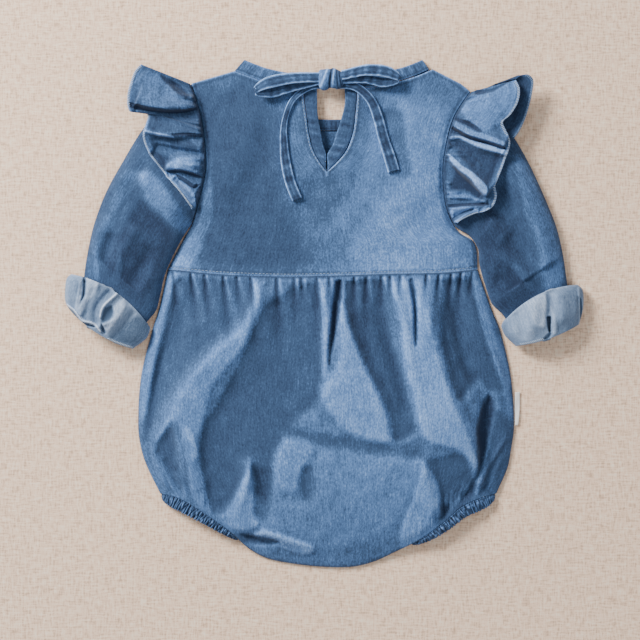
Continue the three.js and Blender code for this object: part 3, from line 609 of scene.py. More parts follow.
blue_denim = denim(
    "washed_denim",
    deep=(0.013, 0.026, 0.062),
    mid=(0.04, 0.081, 0.168),
    washed_and_lit=(0.098, 0.2, 0.43),
    worn_and_highlit=(0.29, 0.475, 0.84),
)
pale_denim = denim(
    "denim_wrong_side",
    deep=(0.06, 0.1, 0.17),
    mid=(0.16, 0.23, 0.35),
    washed_and_lit=(0.25, 0.335, 0.48),
    worn_and_highlit=(0.5, 0.59, 0.75),
)
light_thread = plain_thread("light_thread", (0.5, 0.6, 0.74))
seam_thread = plain_thread("seam_thread", (0.34, 0.45, 0.62))
blue_thread = plain_thread("blue_thread", (0.22, 0.32, 0.48))

HEM_LINE = line_through(HEM, "x y z")
SHOULDER_TIPS = {"left": (-115.3 * MM, 200 * MM, 3.1 * MM), "right": (126.8 * MM, 193 * MM, 3.3 * MM)}


def waist_y(x):
    """The waist seam."""
    return read(WAIST, "x", x, "y")


def waist_across(across):
    """The waist seam at steps from its left end to its right end."""
    return waist_y(mix(BODY_SIDES["left"][-1], BODY_SIDES["right"][-1], across))


def side_x(side, y):
    """The left or right side of the body and the bodice."""
    body = read(BODY_SIDES, "y", y, side)
    return np.where(y > WAIST["y"][0], read(BODICE_SIDES, "y", y, side), body)


def edge_top(y):
    """How high the side edge of the bodice lies."""
    return read(BODICE_SIDES, "y", y, "top")


def hem_outward(at):
    """The direction straight out from the hem."""
    along = on_curve(np.gradient(HEM_LINE, axis=0), np.clip(at, 0.01, 0.99))
    out = np.stack([along[..., 1], -along[..., 0]], -1)
    return out / np.linalg.norm(out, axis=-1, keepdims=True)


def top_edge(x):
    """Height and place of the upper edge of the back: a shoulder, then the neck, on either side."""
    left = x < KEYHOLE_X
    tips = [np.where(left, a, b) for a, b in zip(SHOULDER_TIPS["left"], SHOULDER_TIPS["right"])]
    neck = [np.where(left, NECK_LEFT[c][0], NECK_RIGHT[c][-1]) for c in "xyz"]
    t = np.clip((x - tips[0]) / (neck[0] - tips[0]), 0, 1)
    on_shoulder = np.where(left, x < neck[0], x > neck[0])
    along = [np.where(left, read(NECK_LEFT, "x", x, c), read(NECK_RIGHT, "x", x, c)) for c in "yz"]
    return [np.where(on_shoulder, mix(tips[i + 1], neck[i + 1], t), along[i]) for i in (0, 1)]


def bodice_height(x, y):
    """The smooth height of the back bodice, without its folds."""
    left, right = side_x("left", y), side_x("right", y)
    across = np.clip((x - left) / (right - left), 0, 1)
    edge = edge_top(y)
    upper_y, upper_z = top_edge(np.clip(x, SHOULDER_TIPS["left"][0], SHOULDER_TIPS["right"][0]))
    rise = np.clip((y - waist_y(x)) / (upper_y - waist_y(x)), 0, 1)
    return mix(mix(edge, BODICE_CROWN, arch(across)), upper_z, smooth(rise, 0.5, 1))


# Folds of the bodice and the body: height, width on either side, then places on the line
BODICE_FOLDS = [
    fold(1.3, 10, 16, (4, 112), (14, 92), (30, 60), (38, 40)),
    fold(-1.2, 12, 10, (-6, 118), (-16, 90), (-24, 62), (-30, 40)),
    fold(1.4, 12, 18, (34, 160), (22, 132), (12, 118), start=0.3),
    fold(-1.4, 14, 20, (44, 190), (38, 150), (30, 112), (22, 70)),
    fold(1, 10, 14, (-96, 96), (-78, 120), (-64, 160), (-60, 190)),
    fold(-1, 12, 12, (-84, 88), (-64, 112), (-48, 150), (-40, 190)),
    fold(1.6, 14, 24, (100, 100), (84, 132), (74, 170), (66, 196)),
    fold(-1.1, 10, 14, (96, 92), (78, 76), (64, 58), (58, 40)),
    fold(0.9, 8, 10, (-100, 76), (-84, 64), (-70, 50), (-62, 40)),
]
# Broad parts of the bodice, painted pale as lit or dark as shaded, with a little height
BODICE_AREAS = [
    area(-0.27, 34, (-108, 190), (-60, 200), (-40, 150), (-28, 90), (-15, 40), (-100, 40), (-112, 110)),
    area(-0.12, 16, (2, 125), (-20, 110), (-10, 80), (10, 90), (18, 110)),
    area(-0.14, 6, (52, 178), (68, 174), (72, 142), (76, 122), (64, 118), (56, 134), (50, 160)),
    area(
        0.2, 7, (-98, 146), (-104, 110), (-107, 86), (-119, 64), (-133, 40), (-116, 40), (-104, 62),
        (-96, 90),
    ),
    area(0.12, 14, (40, 170), (58, 160), (42, 110), (22, 82), (4, 70), (20, 100), (36, 140)),
    area(0.2, 28, (60, 190), (110, 170), (112, 100), (118, 40), (30, 40), (40, 90), (70, 130)),
]
BODY_FOLDS = [
    fold(1.6, 8, 8, (-132, 25), (-145, -18), (-155, -57)),
    fold(-3, 9, 12, (-116, 28), (-122, -3), (-136, -40), (-149, -81), (-155, -109)),
    fold(
        4.6, 9, 24, (-51, 30), (-61, 4), (-67, -14), (-82, -27), (-104, -46), (-126, -74), (-139, -92),
        (-148, -108), start=0.08, end=0.4,
    ),
    fold(2, 5, 12, (-136, -88), (-127, -105), (-118, -133), (-108, -166), end=0.5),
    fold(1.6, 3, 3, (-150, -112), (-144, -136), (-135, -156), end=0.1),
    fold(-1.8, 3, 3, (-138, -124), (-130, -144), (-120, -160), end=0.1),
    fold(1.5, 2.5, 3, (-130, -136), (-122, -152), (-113, -165), end=0.1),
    fold(-2.4, 24, 20, (-74, -50), (-88, -100), (-93, -140), (-84, -174), end=0.1),
    fold(1.6, 5, 4, (0, 26), (1, -6), (2, -44), end=0.5),
    fold(-2, 3, 2.5, (13, 30), (10, 5), (6, -20), (3, -46), start=0.05, end=0.5),
    fold(2.4, 26, 5, (18, 10), (25, -20), (34, -40), (50, -74), (61, -104), end=0.4),
    fold(-2.6, 6, 8, (40, 24), (50, -14), (60, -42), (69, -82), (66, -104), end=0.3),
    fold(1.8, 6, 4, (60, 26), (68, -2), (73, -30), (80, -62), end=0.5),
    fold(-1.8, 2, 2.5, (78, 30), (79, 4), (79, -30), start=0.05, end=0.6),
    fold(3.8, 22, 6, (92, 24), (96, -18), (104, -46), (117, -83), (130, -112), (134, -133), (126, -156)),
    fold(-3.8, 6, 9, (108, 26), (116, -15), (124, -46), (139, -78), (137, -105), (139, -132), (134, -156)),
    fold(2.4, 7, 4, (124, 22), (133, -6), (142, -28), (153, -53), (159, -80)),
    fold(1.7, 2.5, 2.5, (161, -104), (145, -128), (134, -148), (121, -167), start=0.1, end=0.1),
    fold(1.5, 3, 3, (156, -122), (150, -136), (143, -154), end=0.1),
    fold(2.2, 10, 4, (-64, -120), (-67, -146), (-74, -174), end=0.3),
    fold(2.2, 9, 4, (85, -122), (89, -148), (97, -178), end=0.3),
    fold(1.8, 5, 3, (-60, -186), (-40, -192), (-28, -197), (2, -205), end=0.5),
    fold(-2, 2.5, 3, (-84, -188), (-61, -195), (-44, -199), (-20, -206), start=0.05, end=0.5),
]
# Broad parts of the body that stand proud and are painted pale as lit, or lie back and are painted dark as
# shaded
BODY_AREAS = [
    # Left side
    area(
        0.12, 7, (-137, 34), (-130, 29), (-141, -7), (-147, -40), (-152, -74), (-159, -94), (-161, -61),
        (-156, -25),
    ),
    area(
        -0.16, 8, (-124, 29), (-133, -14), (-145, -61), (-152, -105), (-158, -109), (-150, -61),
        (-139, -14), (-130, 27),
    ),
    area(
        -0.12, 10, (-128, 29), (-65, 29), (-67, 4), (-87, -16), (-113, -40), (-134, -70), (-152, -100),
        (-145, -51), (-134, -14),
    ),
    area(
        0.14, 9, (-52, 27), (-57, 4), (-67, -25), (-87, -51), (-100, -74), (-111, -126), (-124, -92),
        (-145, -109), (-126, -70), (-104, -40), (-78, -16), (-65, -1), (-61, 25),
    ),
    area(-0.18, 9, (-132, -94), (-128, -126), (-123, -150), (-132, -139), (-141, -126), (-146, -118)),
    area(0.12, 5, (-126, -92), (-113, -105), (-104, -137), (-100, -170), (-113, -161), (-119, -126)),
    # Middle
    area(
        -0.17, 12, (-50, 8), (-9, 25), (-2, -25), (-5, -74), (-31, -100), (-44, -126), (-48, -161),
        (-61, -154), (-65, -126), (-78, -161), (-91, -174), (-104, -148), (-106, -105), (-82, -61),
    ),
    area(
        0.16, 9, (12, 10), (19, 4), (34, -44), (52, -74), (60, -109), (26, -105), (2, -81), (-2, -61),
        (11, -44), (13, -18),
    ),
    area(0.12, 4, (-3, 28), (4, 28), (7, -7), (4, -44), (-2, -57), (-2, -29)),
    area(-0.26, 3, (10, 28), (15, 28), (14, 8), (8, -25), (4, -46), (4, -25)),
    area(
        -0.22, 8, (19, 28), (50, 28), (54, -7), (65, -46), (76, -87), (78, -103), (60, -109), (52, -83),
        (37, -46), (21, -7),
    ),
    # Right side
    area(
        0.18, 8, (56, 28), (65, -3), (69, -40), (78, -74), (88, -109), (119, -120), (132, -148),
        (134, -133), (125, -105), (110, -72), (99, -35), (91, 4), (86, 28),
    ),
    area(-0.24, 3, (73, 29), (77, 29), (80, 4), (80, -25), (78, -25), (77, 4)),
    area(
        -0.2, 9, (100, 29), (127, 27), (138, -7), (149, -46), (156, -66), (143, -66), (134, -57),
        (119, -74), (110, -61), (103, -25),
    ),
    area(
        0.17, 5, (130, 28), (136, 25), (149, -18), (160, -51), (162, -92), (156, -66), (145, -35),
        (134, -1),
    ),
    area(
        -0.32, 6, (143, -70), (147, -79), (143, -105), (136, -133), (127, -161), (110, -176), (130, -144),
        (133, -122), (132, -103), (136, -83),
    ),
    area(-0.14, 7, (147, -83), (162, -92), (162, -118), (151, -159), (130, -165), (140, -137)),
    # Seat
    area(0.12, 8, (-35, -109), (-18, -107), (-9, -118), (-20, -137), (-26, -154), (-39, -150), (-44, -131)),
    area(
        0.07, 14, (-9, -116), (47, -124), (82, -126), (76, -159), (65, -180), (26, -202), (-18, -202),
        (-57, -187), (-48, -170), (-28, -161), (-9, -159), (-5, -139),
    ),
    area(-0.12, 8, (-18, -133), (-11, -133), (-10, -154), (-16, -161), (-20, -148)),
    area(
        -0.1, 9, (-31, -98), (26, -109), (60, -113), (80, -109), (80, -124), (47, -122), (-5, -113),
        (-31, -105),
    ),
    area(
        0.14, 6, (-64, -131), (-59, -148), (-61, -170), (-57, -183), (-74, -189), (-89, -178), (-76, -154),
    ),
    area(-0.12, 10, (-61, -133), (-44, -137), (-46, -161), (-48, -178), (-57, -176), (-59, -154)),
    area(
        0.16, 6, (86, -128), (95, -141), (101, -159), (97, -183), (82, -202), (69, -209), (67, -187),
        (78, -157),
    ),
    area(-0.14, 7, (93, -126), (119, -122), (132, -137), (123, -154), (110, -170), (104, -178), (99, -148)),
    area(-0.15, 7, (100, -165), (110, -170), (101, -187), (97, -178)),
    area(-0.2, 4, (-78, -191), (-52, -193), (-39, -198), (-57, -200), (-74, -197)),
    area(0.14, 4, (-52, -187), (-31, -193), (-9, -202), (-18, -209), (-39, -202), (-61, -193)),
]
# Where the gathers start along the waist seam, and how far down each one runs
WAIST_GATHERS = [
    (-132, 20), (-116, 30), (-104, 22), (-87.8, 32), (-76, 14), (-64, 28), (-41.3, 30), (-26.2, 18),
    (-19.7, 14), (-6.7, 20), (4, 14), (25.8, 20), (36.6, 30), (49.6, 14), (57.1, 26), (65.8, 14),
    (88.5, 16), (99.3, 32), (110.2, 18), (118.8, 20), (128.6, 16),
]
# Height over the middle of the back body, by thousandths of the way down
CROWN = table(
    "down z",
    (0, 9.5),
    (80, 12),
    (300, 16),
    (550, 18),
    (800, 16.5),
    (1000, 12),
)


def waist_gathers(x, below):
    """Narrow ridges and hollows that run down from the waist seam and lean to the middle."""
    total = np.zeros_like(x)
    for at, length in WAIST_GATHERS:
        lean = 0.12 * (at - 10) / 130
        away = x - at * MM + lean * below
        wide = 0.9 * MM + 0.08 * below
        fade = smooth(below, 0, 2.5 * MM) * np.exp(-below / (length * MM))
        total += MM * fade * (1.3 * bell(away - 2.2 * wide, 1.5 * wide) - 2.4 * bell(away, wide))
    return total


def body_sheet(rows=176, columns=238):
    """The back body, from the waist seam down to the hems."""
    down, across = np.meshgrid(
        spaced(np.linspace(0, 1, rows + 1), 0.3),
        spaced(np.linspace(0, 1, columns + 1), 0.35),
        indexing="ij",
    )
    lower = on_curve(HEM_LINE, across)
    upper_y = waist_across(across) - SEAM_GAP / 2
    y = mix(upper_y, lower[..., 1], down)
    left, right = side_x("left", y), side_x("right", y)
    low_left, low_right = side_x("left", lower[..., 1]), side_x("right", lower[..., 1])
    x = mix(left, right, mix(across, (lower[..., 0] - low_left) / (low_right - low_left), down))
    crown = mix(FOOT, read(CROWN, "down", down, "z"), arch(across))
    fall = (1 - down**7) ** 0.6
    below = upper_y - y
    from_hem = np.linalg.norm(lower[..., :2] - np.stack([x, y], -1), axis=-1)
    tone = 1.25 * tone_at(BODY_AREAS, x, y)
    gathers = waist_gathers(x, below)
    height = folds_at(BODY_FOLDS, x, y) + 9 * MM * tone + gathers
    height += crease_layers(
        x, y, (0.75, 26, 1.1, 2.6, 4.0), (0.4, 60, 0.7, 2.2, 9.0), (0.16, 150, 1.3, 1.6, 12.0)
    )
    uneven_x = x + 5 * MM * ripple(x, 0.1 * y, 45, 2.0)
    height += puckers(uneven_x, 0.5 * below, 4.2 * MM, 6 * MM, 0.45 * MM, 3.0)
    height += puckers(uneven_x, 0.7 * below, 2.3 * MM, 3.2 * MM, 0.7 * MM, 5.0)
    height += 1.6 * MM * smooth(below, 0, 5 * MM) * np.exp(-below / (22 * MM))
    along = HEM_LENGTH * across
    uneven = along + 4 * MM * ripple(along, 0.1 * along, 50, 20.0)
    leg = smooth(np.abs(across - 0.5), 0.2, 0.28)
    height += leg * puckers(uneven, 0.3 * from_hem, 4.4 * MM, 5 * MM, 2.6 * MM, 21.0)
    height += (1 - leg) * puckers(along, from_hem, 6 * MM, 8 * MM, 0.7 * MM, 22.0)
    inside = smooth(np.minimum(across, 1 - across), 0, 0.05)
    inside = inside * smooth(1 - down, 0, 0.05) * smooth(down, 0, 0.012)
    sheet = np.stack([x, y, mix(lower[..., 2], crown, fall) + height * inside], -1)
    # Painted light and shade from the areas, gathers' ridges painted pale and troughs dark, and painted
    # shade just under the waist seam
    wear_and_shade = 0.85 * tone + 0.14 * gathers / MM - 0.3 * bell(below, 0.9 * MM)
    return sheet, np.clip(wear_and_crease_shade(sheet, 26, 0.09) + wear_and_shade, 0, 1)


def bodice_half(side, rows_low=84, rows_high=52, columns=(34, 54)):
    """Half of the back bodice, with its edge of the keyhole above the keyhole's tip."""
    tip = SHOULDER_TIPS[side]
    neck_x = NECK_LEFT["x"][0] if side == "left" else NECK_RIGHT["x"][-1]
    seam = side + "_seam"
    seam_x = KEYHOLE[seam][-1]
    centre_low = waist_y(np.array([KEYHOLE_X]))[0] + SEAM_GAP / 2
    centre_high = top_edge(np.array([seam_x]))[0][0]
    tip_y = KEYHOLE["y"][0]
    rise, share = np.meshgrid(
        split_steps((tip_y - centre_low) / (centre_high - centre_low), rows_low, rows_high),
        split_steps((neck_x - tip[0]) / (seam_x - tip[0]), *columns),
        indexing="ij",
    )
    upper_y, upper_z = top_edge(mix(tip[0], seam_x, share))
    waist_end = side_x(side, np.array([WAIST["y"][0]]))[0]
    low = waist_y(mix(waist_end, KEYHOLE_X, share)) + SEAM_GAP / 2
    y = mix(low, upper_y, rise)
    y[: rows_low + 1, -1] = np.linspace(centre_low, tip_y, rows_low + 1)
    slit = np.arange(len(rise))[:, None] > rows_low
    x = mix(side_x(side, y), np.where(slit, read(KEYHOLE, "y", y, seam), KEYHOLE_X), share)
    tone = tone_at(BODICE_AREAS, x, y)
    height = folds_at(BODICE_FOLDS, x, y) + 3 * MM * tone
    height += crease_layers(
        x, y, (0.5, 26, 1.2, 2.6, 31.0), (0.28, 60, 1.0, 2.0, 32.0), (0.12, 150, 1.2, 1.6, 33.0)
    )
    from_waist = y - low
    from_side = np.abs(x - side_x(side, y))
    from_slit = np.where(y > tip_y - 4 * MM, np.abs(x - read(KEYHOLE, "y", y, seam)), 1)
    # Painted light and shade from the areas, and a pale band over the waist seam
    wear_and_shade = 0.9 * tone + 0.1 * bell(from_waist, 9 * MM)
    for along, away, pitch, depth, seed in (
        (x, from_waist, 5.5, 0.55, 40.0),
        (y, from_side, 6, 0.7, 41.0),
        (x, upper_y - y, 5, 0.6, 42.0),
        (y, from_slit, 5, 0.5, 43.0),
    ):
        height += puckers(along, away, pitch * MM, 6 * MM, depth * MM, seed)
        # Pale along each seam, with a line of painted shade beside it
        wear_and_shade += 0.3 * bell(away, 1.1 * MM) - 0.16 * bell(away - 2.6 * MM, 1.3 * MM)
    inside = smooth(share, 0, 0.04) * smooth(rise, 0, 0.02) * smooth(1 - rise, 0, 0.03)
    z = bodice_height(x, y) + height * inside
    z[-1] = upper_z[-1]
    sheet = np.stack([x, y, z], -1)
    return sheet, np.clip(wear_and_crease_shade(sheet, 26, 0.1) + wear_and_shade, 0, 1)


def front_panel(x, y, seed):
    """A panel of the hidden front, nearly flat on the floor."""
    sheet = np.stack([x, y, FRONT_TOP + 0.08 * MM * creases(x, y, 30, 1.2, 2.4, seed)], -1)
    return sheet, wear_and_crease_shade(sheet)


def body_front():
    """The front body, up to the waist seam."""
    down, across = both_ways(70, 90)
    lower = on_curve(HEM_LINE, across)
    y = mix(waist_across(across) - SEAM_GAP / 2, lower[..., 1], down)
    x = mix(side_x("left", y), side_x("right", y), across)
    return front_panel(mix(x, mix(x, lower[..., 0], down), smooth(down, 0.5, 1)), y, 61.0)


def bodice_front():
    """The front bodice, up to its low neck edge."""
    rise, across = both_ways(70, 90)
    top_x = mix(SHOULDER_TIPS["left"][0], SHOULDER_TIPS["right"][0], across)
    in_neck = (top_x > FRONT_NECK["x"][0]) & (top_x < FRONT_NECK["x"][-1])
    top_y = np.where(in_neck, read(FRONT_NECK, "x", top_x, "y"), top_edge(top_x)[0])
    low = waist_across(across) + SEAM_GAP / 2
    y = mix(low, top_y, rise)
    x = mix(side_x("left", y), side_x("right", y), across)
    return front_panel(mix(x, top_x, smooth(rise, 0.5, 1)), y, 63.0)


def neck_strip(rows, columns=150, depth=0.5, seed=70.0):
    """A band between its seam and its upper edge, puckered all along."""
    seam = line_through(rows, "x y z")
    edge = line_through(rows, "band_x band_y z")
    across, along = np.meshgrid(np.linspace(0.02, 1, 12), np.linspace(0, 1, columns), indexing="ij")
    low, high = on_curve(seam, along), on_curve(edge, along)
    sheet = mix(low, high, across[..., None])
    far = along * lengths_along(seam)[-1]
    wave = ripple(far, 2 * MM * across, 1 / (5.2 * MM), seed) + 0.4 * ripple(far, far, 1 / (2.6 * MM), seed)
    shape = rounded(across, 0.5)
    sheet[..., 2] = low[..., 2] + MM * (0.2 + 0.5 * shape + depth * wave * shape)
    # Pucker crests painted pale and troughs in painted shade; both edges pale, with a line of painted shade
    # by the seam
    wear_and_shade = wear_and_crease_shade(sheet, 12, 0.25) - 0.06 + 0.26 * wave * shape
    wear_and_shade += 0.34 * bell(across, 0.1) + 0.24 * bell(1 - across, 0.08) - 0.2 * bell(across - 0.2, 0.08)
    return sheet, np.clip(wear_and_shade, 0, 1)


def binding_sheet(side, inward, seed):
    """One side of the binding inside the keyhole, with the small pleats that its curve draws up."""
    low, high = KEYHOLE["y"][0] + 1.2 * MM, KEYHOLE["y"][-1] - 0.6 * MM
    along, across = both_ways(110, 12)
    y = mix(low, high, along)
    outer = read(KEYHOLE, "y", y, side + "_seam") + inward * 0.5 * MM
    inner = read(KEYHOLE, "y", y, side + "_edge")
    outer = np.where(inward * outer > inward * inner, inner - inward * 0.3 * MM, outer)
    x = mix(outer, inner, across)
    wave = ripple(along * (high - low) + 0.25 * x, 0 * x, 1 / (4.6 * MM), seed) + 0.15
    shape = rounded(across, 0.6)
    z = bodice_height(x, y) - 0.8 * MM + MM * (0.4 * shape + 1.3 * wave * shape)
    sheet = np.stack([x, y, z], -1)
    # Darker overall, pucker crests painted pale and troughs in painted shade, pale along the inner edge
    wear_and_shade = wear_and_crease_shade(sheet, 12, 0.2) - 0.2 + 0.28 * wave * shape + 0.26 * bell(1 - across, 0.1)
    return sheet, np.clip(wear_and_shade, 0, 1)


def stations(text, *rows):
    """Rows of a tube along its length, with their place from 0 to 1."""
    last = len(rows) - 1
    return table("at " + text, *[(1000 * i / last, *row) for i, row in enumerate(rows)])


# Sleeves and rolled cuffs, from the seam to the end: both edges, bow, underside and top
TUBE = "outer_x outer_y inner_x inner_y sag base top"
LEFT_SLEEVE = stations(
    TUBE,
    (-115.6, 199.4, -117, 75.6, 13.5, 0, 7.4),
    (-138, 182, -123, 66, 9, 0, 9),
    (-157.5, 160.5, -128.4, 56, 6, 0, 11),
    (-175.2, 131.7, -133.2, 46, 3, 0, 12),
    (-189.7, 105.1, -138.6, 33, 1, 0, 12),
    (-199.7, 78.4, -142, 18, 0, 0, 12),
    (-205.3, 54, -145.6, 4, 0, 0.6, 11.5),
    (-208, 36, -152, -5, 3, 2.9, 7.6),
    (-210, 20, -160, -13, 0, 2.9, 7.6),
)
RIGHT_SLEEVE = stations(
    TUBE,
    (127.2, 192.6, 113.3, 75.8, -16.3, 0, 7.4),
    (148, 176, 118.8, 72, -11, 0, 9),
    (164.9, 153.1, 126.6, 67, -7, 0, 11),
    (179.8, 126.5, 133.5, 56, -3, 0, 12),
    (194.3, 94.3, 134.8, 42, 0, 0, 12),
    (202.4, 72.9, 139.2, 26, 0, 0, 12),
    (207.5, 50, 145.3, 9, 0, 0.6, 11.5),
    (210, 32, 154, 0, -3, 2.9, 7.6),
    (212, 16, 163, -12, 0, 2.9, 7.6),
)
LEFT_CUFF = stations(
    TUBE,
    (-219.6, 34.4, -152.6, -9.5, 8.5, 0, 14),
    (-223.6, 30, -151.2, -12, 2, 0, 16.5),
    (-225, 18, -152, -16.5, -7, 0, 17.5),
    (-224.4, 10, -155, -22, -9, 0, 16.8),
    (-221.6, 4.6, -166, -30.4, -4.6, 0, 15),
)
RIGHT_CUFF = stations(
    TUBE,
    (220, 25.2, 154.6, -7.5, -8, 0, 14),
    (224.2, 20.5, 153.6, -10.5, -2, 0, 16.5),
    (225, 10, 154.8, -15, 6, 0, 17.5),
    (223.8, 1, 157.6, -20, 6, 0, 16.8),
    (221, -9, 166, -28, 3, 0, 15),
)
LEFT_SLEEVE_FOLDS = [
    fold(3, 14, 12, (-162, 122), (-142, 104), (-128, 92), (-115, 81)),
    fold(-2.4, 12, 12, (-176, 118), (-158, 98), (-144, 78), (-138, 62)),
    fold(2.8, 9, 8, (-190, 88), (-200, 64), (-199, 32)),
    fold(2.6, 8, 8, (-162, 78), (-174, 56), (-184, 34)),
    fold(-2.6, 6, 6, (-182, 72), (-189, 50), (-190, 30)),
    fold(-2, 6, 7, (-148, 60), (-160, 38), (-170, 16)),
    fold(1.6, 7, 7, (-146, 36), (-158, 18), (-164, 2)),
    fold(2, 8, 12, (-170, 146), (-184, 116), (-192, 92)),
]
RIGHT_SLEEVE_FOLDS = [
    fold(3.2, 10, 9, (163, 141), (172.8, 106.3), (183.9, 78.6), (192.2, 43.8), (195, 20)),
    fold(-3, 12, 10, (150, 116), (160, 90), (172, 62), (184, 34)),
    fold(2.6, 8, 8, (140, 48), (156, 46), (170, 40), (184, 18)),
    fold(-2, 6, 6, (146, 30), (160, 28), (172, 14)),
    fold(1.8, 8, 8, (138, 76), (148, 70), (160, 62)),
    fold(1.8, 8, 8, (180, 122), (194, 92), (201, 66)),
]
LEFT_CUFF_FOLDS = [
    fold(
        2.6, 4, 9, (-177.2, 19.1), (-188, 11), (-192.5, 2), (-192.8, -5.8), (-191, -12), start=0.1, end=0.1,
    ),
    fold(-3, 3, 3, (-183, 21), (-195, 8), (-197, -2), (-196, -12), start=0.1, end=0.1),
    fold(-2.2, 2.5, 3, (-163.4, 3), (-172, -7), (-184.4, -21)),
    fold(2, 5, 6, (-168, 10), (-178, -2), (-188, -14)),
    fold(-2.6, 3, 3, (-207.8, 30), (-209, 20), (-208.2, 12)),
    fold(2, 5, 5, (-214, 30), (-216, 20), (-214, 8)),
    fold(-1.6, 3, 3, (-198, 24), (-206, 4), (-208, -8)),
]
RIGHT_CUFF_FOLDS = [
    fold(-2.4, 1.5, 1.6, (193.4, -2), (194, -8), (195.4, -16), start=0.1, end=0.1),
    fold(-2, 3, 4, (196, 22), (197, 8), (195, -6)),
    fold(2.4, 6, 6, (203, 20), (206, 4), (203, -14)),
    fold(-2.6, 2, 2.5, (220, 16), (221.5, 4), (219, -8)),
    fold(2.2, 6, 7, (182, 14), (180, -4), (176, -22)),
    fold(-1.8, 4, 4, (164, 2), (170, -10), (172, -24)),
]
# Facets, lips and slits of the rolled cuffs, then the pale and dark parts of the sleeves: painted light on
# pale parts and painted shade on dark ones, with some height
LEFT_CUFF_AREAS = [
    area(
        -0.16, 3, (-220.3, 27.9), (-213.9, 29.6), (-212.1, 25), (-213.9, 13.3), (-215.6, 4), (-220.3, 7.5),
        (-220.9, 19.1),
    ),
    area(0.22, 2, (-211.6, 27.9), (-209.2, 27.9), (-209.2, 14.5), (-213.9, 4), (-215.4, 6.3), (-212.7, 18)),
    area(
        -0.55, 1.4, (-208.8, 33.1), (-206.6, 33.1), (-206.2, 25), (-206.9, 16.8), (-209.5, 11.6),
        (-208.7, 16.8), (-208, 25),
    ),
    area(
        0.26, 3, (-206, 32.5), (-199.3, 30.8), (-194.7, 25.6), (-198.2, 16.8), (-204, 9.8), (-209.2, -0.7),
        (-212.1, -0.7), (-213.9, 3.4), (-206.9, 13.3), (-205.4, 25),
    ),
    area(
        -0.22, 4, (-193.5, 25.6), (-179.5, 19.7), (-186.5, 11.6), (-191.5, 5.2), (-193.8, -3),
        (-194.1, -7.7), (-207.5, -5.3), (-208.7, -1.8), (-201.7, 8.7), (-196.4, 16.8),
    ),
    area(
        0.5, 1.3, (-177.5, 20), (-184.2, 13.9), (-190.3, 8.4), (-193.2, 2.2), (-193.8, -3), (-192.2, -3),
        (-191.1, 2.2), (-188.5, 6.9), (-183, 12.2), (-176, 18.6),
    ),
    area(
        -0.5, 3, (-189.4, 5.2), (-183.6, 6.9), (-181.8, 1.7), (-183.6, -4.2), (-191.2, -8.2),
        (-192.2, -4.2), (-191.5, 0.5),
    ),
    area(
        0.26, 4, (-183, 4.6), (-173.1, 12.7), (-171.4, 6.3), (-176, -3), (-184.8, -14.7), (-187.7, -15.8),
        (-191.2, -10), (-184.2, -5.9), (-181.3, -0.1),
    ),
    area(
        -0.45, 6, (-170.8, -7.7), (-162, -3), (-152.7, -8.8), (-153.3, -14.7), (-158.5, -21.6),
        (-165.5, -26.9), (-176, -26.9), (-184.8, -21.1), (-178.9, -16.4),
    ),
    area(
        0.5, 1.2, (-222.9, 8.9), (-215.6, 3.7), (-208.7, -4.5), (-201.7, -6.8), (-196.4, -9.4),
        (-192.6, -14.7), (-193.5, -15.8), (-197.6, -10.6), (-202.2, -8.2), (-209.2, -6.2), (-216.2, 2.2),
        (-222.6, 7.2),
    ),
    area(
        -0.5, 1.6, (-222.3, 6.3), (-216.8, 1.7), (-212.7, -3.6), (-208.7, -7.1), (-201.7, -9.1),
        (-198.2, -11.4), (-201.7, -11.2), (-209.2, -9.4), (-213.9, -7.1), (-218.6, -1.8), (-221.8, 2.8),
    ),
    area(-0.6, 1.5, (-192.3, -8.2), (-191.1, -10), (-188.8, -15.2), (-189.7, -17), (-192.2, -13.5)),
]
RIGHT_CUFF_AREAS = [
    area(0.26, 4, (172.8, 9), (190.7, 16.4), (190.7, -3.2), (189.6, -12.1), (181.2, -10), (177, -0.5)),
    area(
        0.12, 4, (161.7, 0), (171.7, 7.4), (178, -9.5), (182.3, -19), (178, -23.2), (170.7, -23.2),
        (163.3, -15.8),
    ),
    area(-0.14, 2, (191.7, 19), (194.4, 17.9), (195.4, 7.4), (193.3, -2.1), (192, -2.1), (192.3, 8.4)),
    area(0.2, 2, (194.9, 7.4), (197, 4.2), (200.4, -7.4), (200.7, -16.3), (197.5, -17.4), (197.5, -6.3)),
    area(
        -0.9, 1.2, (191.9, -2.4), (195.2, -2.4), (195.9, -6.3), (195.1, -12.6), (195.3, -16.1),
        (193.9, -15), (192.4, -9.5),
    ),
    area(-0.16, 5, (201.5, 18.5), (221.8, 22.7), (221.8, 7.4), (221, -12.1), (201.8, -17.7)),
    area(
        0.3, 1.4, (219.2, 22.2), (221.2, 22.4), (221.4, 7.4), (221.2, -11.6), (219.7, -12.1), (220.3, 7.4),
    ),
    area(-0.9, 1.2, (221.6, 13.7), (222.9, 10.6), (223, 0), (222.1, -4.2), (221.5, 2.1)),
    area(
        -0.26, 5, (153.3, -10), (156.9, -7.4), (159.8, -17.9), (164.3, -24.2), (159.1, -22.1),
        (153.8, -14.8),
    ),
    area(-0.4, 2, (188.6, -22.1), (194.4, -16.3), (196, -18.2), (192.8, -22.1)),
]
LEFT_SLEEVE_AREAS = [
    area(
        0.16, 9, (-172, 124), (-188, 92), (-202, 60), (-205, 32), (-196, 32), (-192, 60), (-178, 90),
        (-162, 120),
    ),
    area(
        -0.2, 9, (-160, 98), (-172, 78), (-182, 56), (-186, 36), (-160, 10), (-146, 30), (-134, 58),
        (-134, 74),
    ),
    area(0.24, 8, (-162, 122), (-148, 122), (-126, 94), (-114, 78), (-118, 66), (-134, 78), (-154, 98)),
    area(0.14, 3, (-176, 52), (-182, 36), (-184, 28), (-178, 26), (-174, 40)),
    area(0.16, 2, (-199, 50), (-200, 38), (-197, 28), (-195, 30), (-196, 44)),
]
